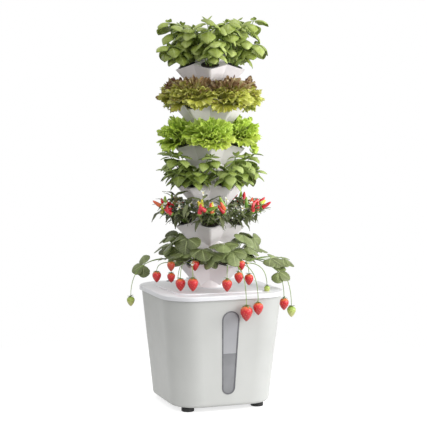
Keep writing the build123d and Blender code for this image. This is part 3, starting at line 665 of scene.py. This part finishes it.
def plant_looks(kind):
    skin = pepper_skin if kind == "chilli" else strawberry_skin
    looks = {LEAF: plant_leaves[kind], STEM: green_stem, SKIN: skin}
    looks.update({SEED: seed_gold, PETAL: petal_white, POLLEN: pollen_yellow})
    return looks


# Plants
class SprigForm(NamedTuple):
    """How a stem carries its leaves: in crossed pairs from its tip down."""
    leaf: LeafForm
    length: float  # of the largest leaves
    pairs: tuple  # place along the stem, share of that length, pitch and bend
    thickness: float  # of the stem at its foot


BASIL_PAIRS = (
    (1.0, 0.30, 0.9, 0.6),
    (0.98, 0.92, 0.34, 1.6),
    (0.90, 1.0, 0.30, 1.9),
    (0.74, 1.0, 0.20, 1.8),
    (0.56, 0.95, 0.10, 1.6),
    (0.38, 0.80, 0.0, 1.4),
)
MINT_PAIRS = (
    (1.0, 0.38, 0.9, 0.5),
    (0.96, 0.72, 0.45, 1.1),
    (0.82, 0.95, 0.30, 1.5),
    (0.64, 1.0, 0.15, 1.6),
    (0.46, 1.05, 0.05, 1.4),
    (0.30, 0.9, 0.0, 1.2),
)
BASIL_SPRIG = SprigForm(BASIL, 0.056, BASIL_PAIRS, 0.0020)
MINT_SPRIG = SprigForm(MINT, 0.049, MINT_PAIRS, 0.0016)
STEM_BEND = 0.25


def grow_sprig(growth, form, start, heading, pitch, height, tone):
    """A stem with leaves in crossed pairs."""
    path = stem_path(start, heading, pitch, STEM_BEND, height)
    growth.add_stem(path, form.thickness, 0.55 * form.thickness)
    turn = heading + math.pi / 2 + growth.sway(0.5)
    for place, share, lift, droop in form.pairs:
        for side in (0, math.pi):
            way = turn + side + growth.sway(0.3)
            length = form.length * share * growth.rng.uniform(0.88, 1.1)
            shade = tone + growth.sway(0.25)
            leaf_pitch = lift + growth.sway(0.2)
            leaf_bend = droop * growth.rng.uniform(0.85, 1.15)
            roll = growth.sway(0.3)
            seat = along_path(path, place)
            growth.add_leaf(form.leaf, seat, way, leaf_pitch, leaf_bend, length, shade, roll)
        turn += math.pi / 2 + growth.sway(0.25)


def grow_stems(growth, form, lobe, tone, stems):
    """Several sprigs from one cup, each by its swing from the lobe, its pitch and its height."""
    angle = growth.tier.lobe(lobe)
    for swing, pitch, height in stems:
        start = growth.tier.cup(lobe, 0.008 * math.cos(swing), 0.010 * math.sin(swing))
        way = angle + swing + growth.sway(0.2)
        tall = height * growth.rng.uniform(0.93, 1.07)
        grow_sprig(growth, form, start, way, pitch, tall, tone)


# Stems of a plant by swing, pitch and height, and how tall each of the five basil plants is
BASIL_STEMS = ((0.0, 1.32, 0.134), (1.5, 1.38, 0.120), (-1.5, 1.38, 0.112), (0.3, 0.95, 0.080))
BASIL_SHARES = (1.0, 1.07, 0.97, 1.0, 0.92)
MINT_STEMS = (
    (0.0, 1.15, 0.100),
    (1.2, 1.05, 0.092),
    (-1.2, 1.05, 0.094),
    (0.6, 0.72, 0.070),
    (-0.5, 0.68, 0.072),
)


def grow_basil(growth, lobe, tone):
    """Upright stems with big drooping oval leaves."""
    stems = [(swing, pitch, height * BASIL_SHARES[lobe]) for swing, pitch, height in BASIL_STEMS]
    grow_stems(growth, BASIL_SPRIG, lobe, tone, stems)


def grow_mint(growth, lobe, tone):
    """Airy stems with pointed leaves."""
    grow_stems(growth, MINT_SPRIG, lobe, tone, MINT_STEMS)


# Rings of a lettuce head from the outside in: leaves, fan, pitch, bend, length and how much paler they are, a
# painted shade that lightens the outer leaves and darkens the inner ones within the head
LETTUCE_RINGS = (
    (3, 0.85, 0.62, 1.35, 0.066, 0.18),
    (4, 1.10, 0.92, 1.25, 0.077, 0.12),
    (5, 1.20, 1.08, 1.0, 0.080, -0.08),
    (4, 1.00, 1.36, 0.5, 0.084, -0.36),
)
LETTUCE_FOOT = 0.012  # radius of the ring that the leaves start from


def grow_lettuce(growth, lobe, tone, form):
    """A loose head: outer leaves that hang over, and upright ones within."""
    angle = growth.tier.lobe(lobe)
    for count, fan, pitch, bend, length, pale in LETTUCE_RINGS:
        for number in range(count):
            way = fan * (2 * (number + 0.5) / count - 1) + growth.sway(0.15)
            start = growth.tier.cup(lobe, LETTUCE_FOOT * math.cos(way), LETTUCE_FOOT * math.sin(way))
            lift = pitch + growth.sway(0.22)
            curl = bend * growth.rng.uniform(0.75, 1.3)
            # painted shade: the outer rings paler, the inner ones darker within the head
            shade = tone + pale + growth.sway(0.25)
            size = length * growth.rng.uniform(0.88, 1.08)
            growth.add_leaf(form, start, angle + way, lift, curl, size, shade, growth.sway(0.25))


def add_flower(growth, middle, way, form, petals, size, centre):
    """An open flower that faces up and a little towards way."""
    for number in range(petals):
        turn = way + 2 * math.pi * number / petals
        lift = 0.25 - 0.75 * math.cos(turn - way)
        growth.add_leaf(form, middle, turn, lift, 0.3, size, 0.5, look=PETAL, clear=False)
    rise = polar(0.5, way, 0.8)
    path = [middle - 0.2 * centre * rise, middle + 0.3 * centre * rise, middle + 0.8 * centre * rise]
    growth.add_tube(path, [0.7 * centre, centre, 0.4 * centre], POLLEN, sides=8)


PEPPER_RADIUS = 0.0064
PEPPER_CAP = ((-0.0025, 0.35), (-0.001, 0.8), (0.001, 0.95), (0.003, 0.9))  # place, share of radius


def add_pepper(growth, root, base, way, pitch, length, tone):
    """A pepper with its cap, and a stalk from its branch."""
    path = stem_path(base, way, pitch, -0.25, length, 13)
    shares = np.linspace(0, 1, len(path))
    shoulder = 0.70 + 0.30 * smooth(shares, 0, 0.2)
    radii = PEPPER_RADIUS * np.sqrt(np.clip(1 - shares ** 1.7, 0.003, 1)) * shoulder
    growth.add_tube(path, radii, SKIN, tone, sides=12)
    ahead = (path[1] - path[0]) / np.linalg.norm(path[1] - path[0])
    cap = [base + place * ahead for place, share in PEPPER_CAP]
    growth.add_tube(cap, [PEPPER_RADIUS * share for place, share in PEPPER_CAP], STEM, sides=10)
    stalk = curve_through(root, base - 0.012 * ahead, base - 0.002 * ahead, 7)
    growth.add_stem(stalk, 0.0011, 0.0011)


CHILLI_BRANCHES, CHILLI_LEAVES = 9, 8
CHILLI_FAN = 1.3  # half the angle that the branches spread over
CHILLI_BARE = 0.35  # share of a branch below its first leaf
CHILLI_LEAFY = 0.63  # share of it from its first leaf to its last


def grow_chilli(growth, lobe, tone):
    """A low bush of narrow leaves with small white flowers."""
    rng = growth.rng
    angle = growth.tier.lobe(lobe)
    for number in range(CHILLI_BRANCHES):
        swing = -CHILLI_FAN + 2 * CHILLI_FAN * number / (CHILLI_BRANCHES - 1) + growth.sway(0.15)
        reach = rng.uniform(0.068, 0.094)
        start = growth.tier.cup(lobe, 0.006 * math.cos(swing), 0.006 * math.sin(swing))
        path = stem_path(start, angle + swing, rng.uniform(0.55, 1.30), 0.35, reach)
        growth.add_stem(path, 0.0017, 0.0009)
        for step in range(CHILLI_LEAVES):
            share = CHILLI_BARE + CHILLI_LEAFY * step / (CHILLI_LEAVES - 1)
            way = angle + swing + (step * 2.4 - 1.2) + growth.sway(0.4)
            lift = rng.uniform(-0.45, 0.95)
            droop = rng.uniform(0.5, 1.2)
            shade = tone + growth.sway(0.35)
            size = rng.uniform(0.038, 0.060)
            seat = along_path(path, share)
            growth.add_leaf(CHILLI, seat, way, lift, droop, size, shade, growth.sway(0.5))
        for share in (0.55, 0.95)[: 1 + number % 2]:
            foot = along_path(path, share)
            seat = foot + np.array([0, 0, rng.uniform(0.010, 0.022)])
            growth.add_tube([foot, seat], [0.0007, 0.0006], STEM)
            add_flower(growth, seat, angle + swing + growth.sway(0.6), STAR_PETAL, 5, 0.0118, 0.0024)


# Bunches of peppers: distance from the axis, angle from the lobe in degrees, number
PEPPER_BUNCHES = ((0.144, 0.0, 4), (0.136, -15.0, 3), (0.136, 15.0, 3), (0.112, 4.0, 2))
PEPPER_TONES = [0.02, 0.22, 0.30, 0.58, 0.85, 0.9, 0.9, 0.95]
BUNCH_ROOT_SHARE = 0.82  # of a bunch's distance from the axis
BUNCH_ROOT_HEIGHT = 0.042  # over the lip


def grow_peppers(growth, lobe):
    """Peppers in bunches over the bush."""
    rng = growth.rng
    for distance, swing, count in PEPPER_BUNCHES:
        middle = growth.tier.lobe(lobe) + math.radians(swing)
        root = polar(BUNCH_ROOT_SHARE * distance, middle, growth.tier.lip + BUNCH_ROOT_HEIGHT)
        for number in range(count):
            angle = middle + math.radians(growth.sway(6))
            reach = distance + rng.uniform(-0.014, 0.006)
            height = growth.tier.lip + rng.uniform(0.040, 0.066)
            base = polar(reach, angle, height)
            tone = rng.choice(PEPPER_TONES)
            way = angle + growth.sway(1.6)
            pitch = rng.uniform(0.1, 1.4)
            add_pepper(growth, root, base, way, pitch, rng.uniform(0.027, 0.034), tone)


def add_trifoliate(growth, joint, way, pitch, roll, size, tone):
    """Three toothed leaflets on one joint, tilted together."""
    rng = growth.rng
    for turn, share in ((-1.4, 0.92), (0.0, 1.0), (1.4, 0.92)):
        lift = pitch * math.cos(turn) + roll * math.sin(turn) + rng.uniform(-0.25, 0.15)
        lean = roll * math.cos(turn) - pitch * math.sin(turn) + growth.sway(0.2)
        shade = tone + growth.sway(0.2)
        bend = rng.uniform(0.2, 0.6)
        growth.add_leaf(BERRY_LEAF, joint, way + turn, lift, bend, share * size, shade, lean)


# Leaf stalks of a strawberry plant: swing from the lobe, pitch and length
BERRY_STALKS = (
    (-1.35, 0.80, 0.068),
    (-0.75, 1.15, 0.088),
    (-0.25, 0.95, 0.062),
    (0.3, 1.30, 0.090),
    (0.85, 0.95, 0.078),
    (1.4, 0.75, 0.068),
)
BERRY_LEAFLET = 0.046


def grow_strawberry(growth, lobe, tone):
    """Broad three-part leaves on long stalks, and two flowers."""
    rng = growth.rng
    angle = growth.tier.lobe(lobe)
    for swing, pitch, length in BERRY_STALKS:
        way = angle + swing + growth.sway(0.15)
        start = growth.tier.cup(lobe, 0.006 * math.cos(swing), 0.008 * math.sin(swing))
        path = stem_path(start, way, pitch, 0.6, length * rng.uniform(0.9, 1.1))
        growth.add_stem(path, 0.0016, 0.0010)
        tilt = rng.uniform(-1.0, -0.2)
        roll = growth.sway(0.3)
        size = BERRY_LEAFLET * rng.uniform(0.85, 1.1)
        add_trifoliate(growth, path[-1], way, tilt, roll, size, tone)
    for swing, pitch in ((-0.5, 0.30), (0.55, 0.36)):
        start = growth.tier.cup(lobe, 0.010, 0.006 * swing)
        path = stem_path(start, angle + swing, pitch + growth.sway(0.1), 0.5, rng.uniform(0.056, 0.070))
        growth.add_stem(path, 0.0010, 0.0007)
        add_flower(growth, path[-1], angle + swing, ROUND_PETAL, 5, 0.0085, 0.0030)


BERRY_LENGTH, BERRY_RADIUS = 0.034, 0.0140
BERRY_SEEDS, BERRY_SEPALS = 64, 8
SEPAL_LENGTH = 0.0125
GOLDEN_TURN = 2.39996


def add_berry(growth, top, size, ripeness):
    """A hanging strawberry with its seeds and its leafy cap."""
    length, radius = BERRY_LENGTH * size, BERRY_RADIUS * size
    down = np.array([0, 0, -1])
    shares = np.linspace(0, 1, 15)
    widths = radius * np.sin(math.pi * np.clip(shares, 0.02, 0.985) ** 0.62) ** 0.66
    growth.add_tube(top + shares[:, None] * length * down, widths, SKIN, ripeness, sides=20)
    for number in range(BERRY_SEEDS):
        share = 0.10 + 0.84 * number / BERRY_SEEDS
        turn = number * GOLDEN_TURN
        width = float(np.interp(share, shares, widths))
        seat = top + polar(width - 0.0001, turn, -share * length)
        seed = [seat - 0.0011 * size * down, seat, seat + 0.0010 * size * down]
        growth.add_tube(seed, [0.0001, 0.00042 * size, 0.0001], SEED, sides=5)
    cap = top - 0.0005 * down
    for number in range(BERRY_SEPALS):
        turn = 2 * math.pi * number / BERRY_SEPALS + growth.sway(0.2)
        pitch = growth.rng.uniform(0.1, 0.9)
        growth.add_leaf(SEPAL, cap, turn, pitch, 0.9, SEPAL_LENGTH * size, 0.55, clear=False)


# Strawberries by angle from the front lobes, distance from the axis, height, size and ripeness
BERRIES = [
    (-52.0, 0.138, 0.372, 0.8, 1.0), (-34.0, 0.146, 0.358, 1.0, 0.9), (-18.0, 0.152, 0.362, 1.05, 1.0),
    (18.0, 0.152, 0.360, 1.0, 1.0), (46.0, 0.150, 0.370, 0.9, 1.0), (29.4, 0.203, 0.288, 1.2, 1.0),
    (39.0, 0.210, 0.298, 1.0, 0.9), (94.0, 0.212, 0.284, 1.0, 1.0), (84.0, 0.232, 0.268, 0.9, 0.2),
    (-81.0, 0.228, 0.298, 0.8, 0.3), (-68.0, 0.162, 0.372, 0.9, 0.8), (188.0, 0.204, 0.292, 1.1, 1.0),
    (209.0, 0.204, 0.300, 1.0, 0.4), (-19.5, 0.124, 0.410, 0.85, 1.0), (-47.0, 0.148, 0.406, 0.8, 0.75),
    (37.0, 0.142, 0.410, 0.85, 1.0), (32.0, 0.150, 0.378, 0.9, 0.9), (62.0, 0.180, 0.338, 0.6, 0.1),
]
BERRY_STEM_START = 0.126
BERRY_STEM_HEIGHT = 0.014
BERRY_STEM_SWING = 12.0
BERRY_RISE = 0.010  # of a berry's top over its place


def crown_point(tier, degrees):
    """The point in the nearest plant of a tier from which a berry's stalk or a runner comes."""
    half = math.degrees(HALF_LOBE)
    middle = half + 2 * half * round((degrees - half) / (2 * half))
    swing = max(-BERRY_STEM_SWING, min(BERRY_STEM_SWING, degrees - middle))
    return tower_point(middle + swing, BERRY_STEM_START, tier.lip + BERRY_STEM_HEIGHT)


def grow_berries(growth):
    for degrees, radius, z, size, ripeness in BERRIES:
        top = tower_point(degrees, radius, z + size * BERRY_RISE)
        start = crown_point(growth.tier, degrees)
        corner = tower_point(degrees, radius, start[2] + 0.006)
        path = curve_through(start, corner, top, 14)
        growth.add_stem(path, 0.0013, 0.0009)
        add_berry(growth, top, size, ripeness)


# Runner leaves by angle, distance, height, tilt and roll
RUNNER_LEAVES = [
    (90.0, 0.206, 0.412, 0.14, 0.25),
    (-94.0, 0.190, 0.392, 0.35, -0.9),
    (72.0, 0.178, 0.418, 0.35, 0.4),
    (80.0, 0.194, 0.378, 0.35, 0.5),
]
RUNNER_LEAFLET = 0.042


def grow_runners(growth):
    for degrees, radius, z, tilt, roll in RUNNER_LEAVES:
        joint = tower_point(degrees, radius, z)
        start = crown_point(growth.tier, degrees)
        path = curve_through(start, (start + joint) / 2 + np.array([0, 0, 0.012]), joint, 12)
        growth.add_stem(path, 0.0014, 0.0010)
        way = TOWER_TURN + math.radians(degrees)
        add_trifoliate(growth, joint, way, -tilt, roll, RUNNER_LEAFLET, 0.45)


# For each tier from the top: the plant, its way of growing and the tone of each of its five plants, which
# differs partly at random and partly as painted shade, darker for the plants on the tower's left (−X) side,
# away from the key lamp, and lighter on the right
PLANTING = [
    ("basil", grow_basil, (0.50, 0.55, 0.50, 0.50, 0.40)),
    ("red_lettuce", partial(grow_lettuce, form=RED_LETTUCE), (0.66, 0.76, 0.55, 0.55, 0.62)),
    ("green_lettuce", partial(grow_lettuce, form=GREEN_LETTUCE), (0.70, 0.62, 0.60, 0.45, 0.25)),
    ("mint", grow_mint, (0.60, 0.65, 0.50, 0.40, 0.40)),
    ("chilli", grow_chilli, (0.50, 0.55, 0.50, 0.40, 0.30)),
    ("strawberry", grow_strawberry, (0.55, 0.55, 0.50, 0.40, 0.30)),
]
PEPPER_SEED, BERRY_SEED, RUNNER_SEED = 77, 78, 79


def plant_tower():
    for number, (kind, grow, variety_and_painted_shade_tones) in enumerate(PLANTING, start=1):
        tier = Tier(number)
        for lobe in range(LOBES):
            growth = Growth(tier, 100 * number + lobe)
            # the plant's tone carries painted shade by its side of the tower as well as variety
            grow(growth, lobe, variety_and_painted_shade_tones[lobe])
            name = f"{tier.body}_{kind}_{lobe + 1}"
            growth.build(name, plant_looks(kind), tier.body, f"{kind}_leaf", f"{tier.body}_plants")
    peppers = Growth(Tier(5), PEPPER_SEED)
    for lobe in range(LOBES):
        grow_peppers(peppers, lobe)
    peppers.build("chilli_peppers", plant_looks("chilli"), "tier_5", "pepper_skin", "tier_5_peppers")
    looks = plant_looks("strawberry")
    berries = Growth(Tier(6), BERRY_SEED)
    grow_berries(berries)
    berries.build("hanging_strawberries", looks, "tier_6", "strawberry_skin", "tier_6_strawberries")
    runners = Growth(Tier(6), RUNNER_SEED)
    grow_runners(runners)
    runners.build("strawberry_runners", looks, "tier_6", "strawberry_leaf", "tier_6_runner_leaves")


# Finishes of the pieces that show as they were modelled
def dress_nodes():
    finishes = {
        "tub_plastic": plastic("tub_plastic_look", (194, 195, 192), (188, 189, 186), 0.42, 0.52),
        "lid_plastic": plastic("lid_plastic_look", (226, 226, 229), (220, 220, 223), 0.36, 0.46),
        "planter_plastic": plastic("planter_plastic_look", (246, 241, 242), (241, 236, 237), 0.34, 0.44),
        "pipe_plastic": plastic("pipe_plastic_look", (238, 236, 235), (226, 226, 224), 0.3, 0.4),
        "clear_window": clear_window("clear_window_look"),
        "black_rubber": rubber("black_rubber_look", (38, 38, 38), (18, 18, 18)),
        "hose_rubber": rubber("hose_rubber_look", (52, 54, 56), (30, 31, 33)),
        "black_plastic": plastic("black_plastic_look", (34, 34, 35), (22, 22, 23), 0.38, 0.52),
        "steel": metal("steel_look"),
        "grow_foam": foam("grow_foam_look"),
    }
    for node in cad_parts.values():
        for slot in node.material_slots:
            if slot.material.name in finishes:
                slot.material = finishes[slot.material.name]
    gasket = rubber("gasket_look", (118, 118, 122), (96, 96, 100))
    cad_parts["window_gasket"].material_slots[0].material = gasket


# Water in the tub, a little inside its wall
WATER_FLOOR = 0.030
WATER_GAP = 0.008
TUB_FLOOR_Z, TUB_FLOOR_HALF, TUB_FLOOR_CORNER = 0.014, 0.146, 0.076
TUB_RIM_Z, TUB_RIM_HALF, TUB_RIM_CORNER = 0.325, 0.174, 0.083
CORNER_STEPS = 8
WATER_RINGS = 4


def water_ring(z):
    """The outline of the water at one height: a square with round corners."""
    share = (z - TUB_FLOOR_Z) / (TUB_RIM_Z - TUB_FLOOR_Z)
    half = TUB_FLOOR_HALF + share * (TUB_RIM_HALF - TUB_FLOOR_HALF) - WATER_GAP
    corner = TUB_FLOOR_CORNER + share * (TUB_RIM_CORNER - TUB_FLOOR_CORNER) - WATER_GAP
    ring = []
    for quarter in range(4):
        middle = (half - corner) * math.sqrt(2)
        way = math.pi / 4 + quarter * math.pi / 2
        for step in range(CORNER_STEPS + 1):
            turn = quarter * math.pi / 2 + step * math.pi / 2 / CORNER_STEPS
            x = middle * math.cos(way) + corner * math.cos(turn)
            y = middle * math.sin(way) + corner * math.sin(turn)
            ring.append((x, y, z))
    return ring


def fill_tub():
    rings = [water_ring(z) for z in np.linspace(WATER_FLOOR, WATER_LEVEL, WATER_RINGS)]
    size = len(rings[0])
    last = (WATER_RINGS - 1) * size
    faces = [tuple(reversed(range(size))), tuple(range(last, last + size))]
    for low in range(0, last, size):
        high = low + size
        for step in range(size):
            after = (step + 1) % size
            faces.append((low + step, low + after, high + after, high + step))
    mesh = bpy.data.meshes.new("nutrient_water")
    mesh.from_pydata([point for ring in rings for point in ring], [], faces)
    mesh.materials.append(water("nutrient_water_look"))
    piece = add_object("nutrient_water", mesh)
    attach(piece, "reservoir")


# Floor, lights and camera
PHOTO_SIZE = 427.0
FOCAL_PIXELS = 1325.8
CAMERA_DISTANCE = 3.759
CAMERA_HEIGHT = 0.850
CAMERA_TURN = math.radians(19.65)
CAMERA_PITCH = math.radians(4.72)
AXIS_OFFSET = 3.22  # pixels from the picture's middle to the tower's axis
SENSOR = 36.0
CLIP_END = 50.0


def add_camera():
    data = bpy.data.cameras.new("camera")
    data.sensor_width = SENSOR
    data.lens = FOCAL_PIXELS / PHOTO_SIZE * SENSOR
    data.shift_x = AXIS_OFFSET / PHOTO_SIZE
    data.clip_end = CLIP_END
    camera = add_object("camera", data)
    away = Vector((-math.sin(CAMERA_TURN), -math.cos(CAMERA_TURN), 0))
    camera.location = CAMERA_DISTANCE * away + Vector((0, 0, CAMERA_HEIGHT))
    camera.rotation_euler = Euler((math.pi / 2 - CAMERA_PITCH, 0, -CAMERA_TURN))
    bpy.context.scene.camera = camera


def seen_directly(nodes, links):
    """1 for what the camera, a mirror or a clear piece sees, and 0 for light that falls on things."""
    path = nodes.new("ShaderNodeLightPath")
    seen = path.outputs["Is Camera Ray"]
    for ray in ("Is Glossy Ray", "Is Transmission Ray"):
        either = nodes.new("ShaderNodeMath")
        either.operation = "MAXIMUM"
        links.new(seen, either.inputs[0])
        links.new(path.outputs[ray], either.inputs[1])
        seen = either.outputs[0]
    return seen


WORLD_FILL = 0.84
FLOOR_HALF = 8.0
FLOOR_GLOW = 0.70
FLOOR_SHADE = 0.6  # of the floor's own colour near the tub
FLOOR_NEAR = 0.45  # radius within which the floor shows its shadow in full
FLOOR_FAR = 1.10  # and beyond which it is plain white


def add_world():
    world = bpy.data.worlds.new("studio")
    bpy.context.scene.world = world
    world.use_nodes = True
    nodes, links = world.node_tree.nodes, world.node_tree.links
    output = nodes["World Output"]
    fill = nodes["Background"]
    fill.inputs["Color"].default_value = (1, 1, 1, 1)
    fill.inputs["Strength"].default_value = WORLD_FILL
    white = nodes.new("ShaderNodeBackground")
    white.inputs["Color"].default_value = (1, 1, 1, 1)
    white.inputs["Strength"].default_value = 1.0
    mix = nodes.new("ShaderNodeMixShader")
    links.new(seen_directly(nodes, links), mix.inputs[0])
    links.new(fill.outputs[0], mix.inputs[1])
    links.new(white.outputs[0], mix.inputs[2])
    links.new(mix.outputs[0], output.inputs["Surface"])


def add_floor():
    """A pale floor that keeps a soft shadow and turns to plain white away from the tub."""
    mesh = bpy.data.meshes.new("floor")
    corners = [(-1, -1), (1, -1), (1, 1), (-1, 1)]
    mesh.from_pydata([(FLOOR_HALF * x, FLOOR_HALF * y, 0) for x, y in corners], [], [(0, 1, 2, 3)])
    floor = add_object("floor", mesh)
    finish = Finish("floor_white", roughness=0.9)
    far = finish.tree.nodes.new("ShaderNodeVectorMath")
    far.operation = "LENGTH"
    finish.put(far.inputs[0], finish.place())
    share = finish.math("DIVIDE", far.outputs["Value"], FLOOR_FAR)
    near = FLOOR_NEAR / FLOOR_FAR
    finish.base(finish.ramp(share, (near, FLOOR_SHADE), (1.0, 0.0)))
    finish.put(finish.shader.inputs["Specular IOR Level"], 0.0)
    finish.put(finish.shader.inputs["Emission Color"], (1, 1, 1, 1))
    glow = finish.ramp(share, (near, FLOOR_GLOW), (1.0, 1.0))
    seen = seen_directly(finish.tree.nodes, finish.tree.links)
    finish.put(finish.shader.inputs["Emission Strength"], finish.math("MULTIPLY", seen, glow))
    mesh.materials.append(finish.material)


# Lamps: name, turn and lift in degrees as seen from the aim, distance, size and power
LAMPS = [
    ("key", -38.0, 12.0, 1.30, 0.9, 13.0),
    ("front", -76.0, 5.0, 2.8, 1.8, 24.0),
    ("left", 172.0, 14.0, 2.6, 1.4, 4.0),
    ("top", -60.0, 76.0, 2.6, 1.4, 10.0),
]
LAMP_AIM = Vector((0, 0, 0.55))


def add_lamps():
    for name, turn, lift, distance, size, power in LAMPS:
        data = bpy.data.lights.new(name, "AREA")
        data.shape = "DISK"
        data.size = size
        data.energy = power
        lamp = add_object(name, data)
        turn, lift = math.radians(turn), math.radians(lift)
        way = Vector((math.cos(turn) * math.cos(lift), math.sin(turn) * math.cos(lift), math.sin(lift)))
        lamp.location = LAMP_AIM + distance * way
        lamp.rotation_euler = way.to_track_quat("Z", "Y").to_euler()


add_camera()
add_world()
add_floor()
add_lamps()
dress_nodes()
fill_tub()
plant_tower()

bpy.context.scene.view_settings.view_transform = "Standard"
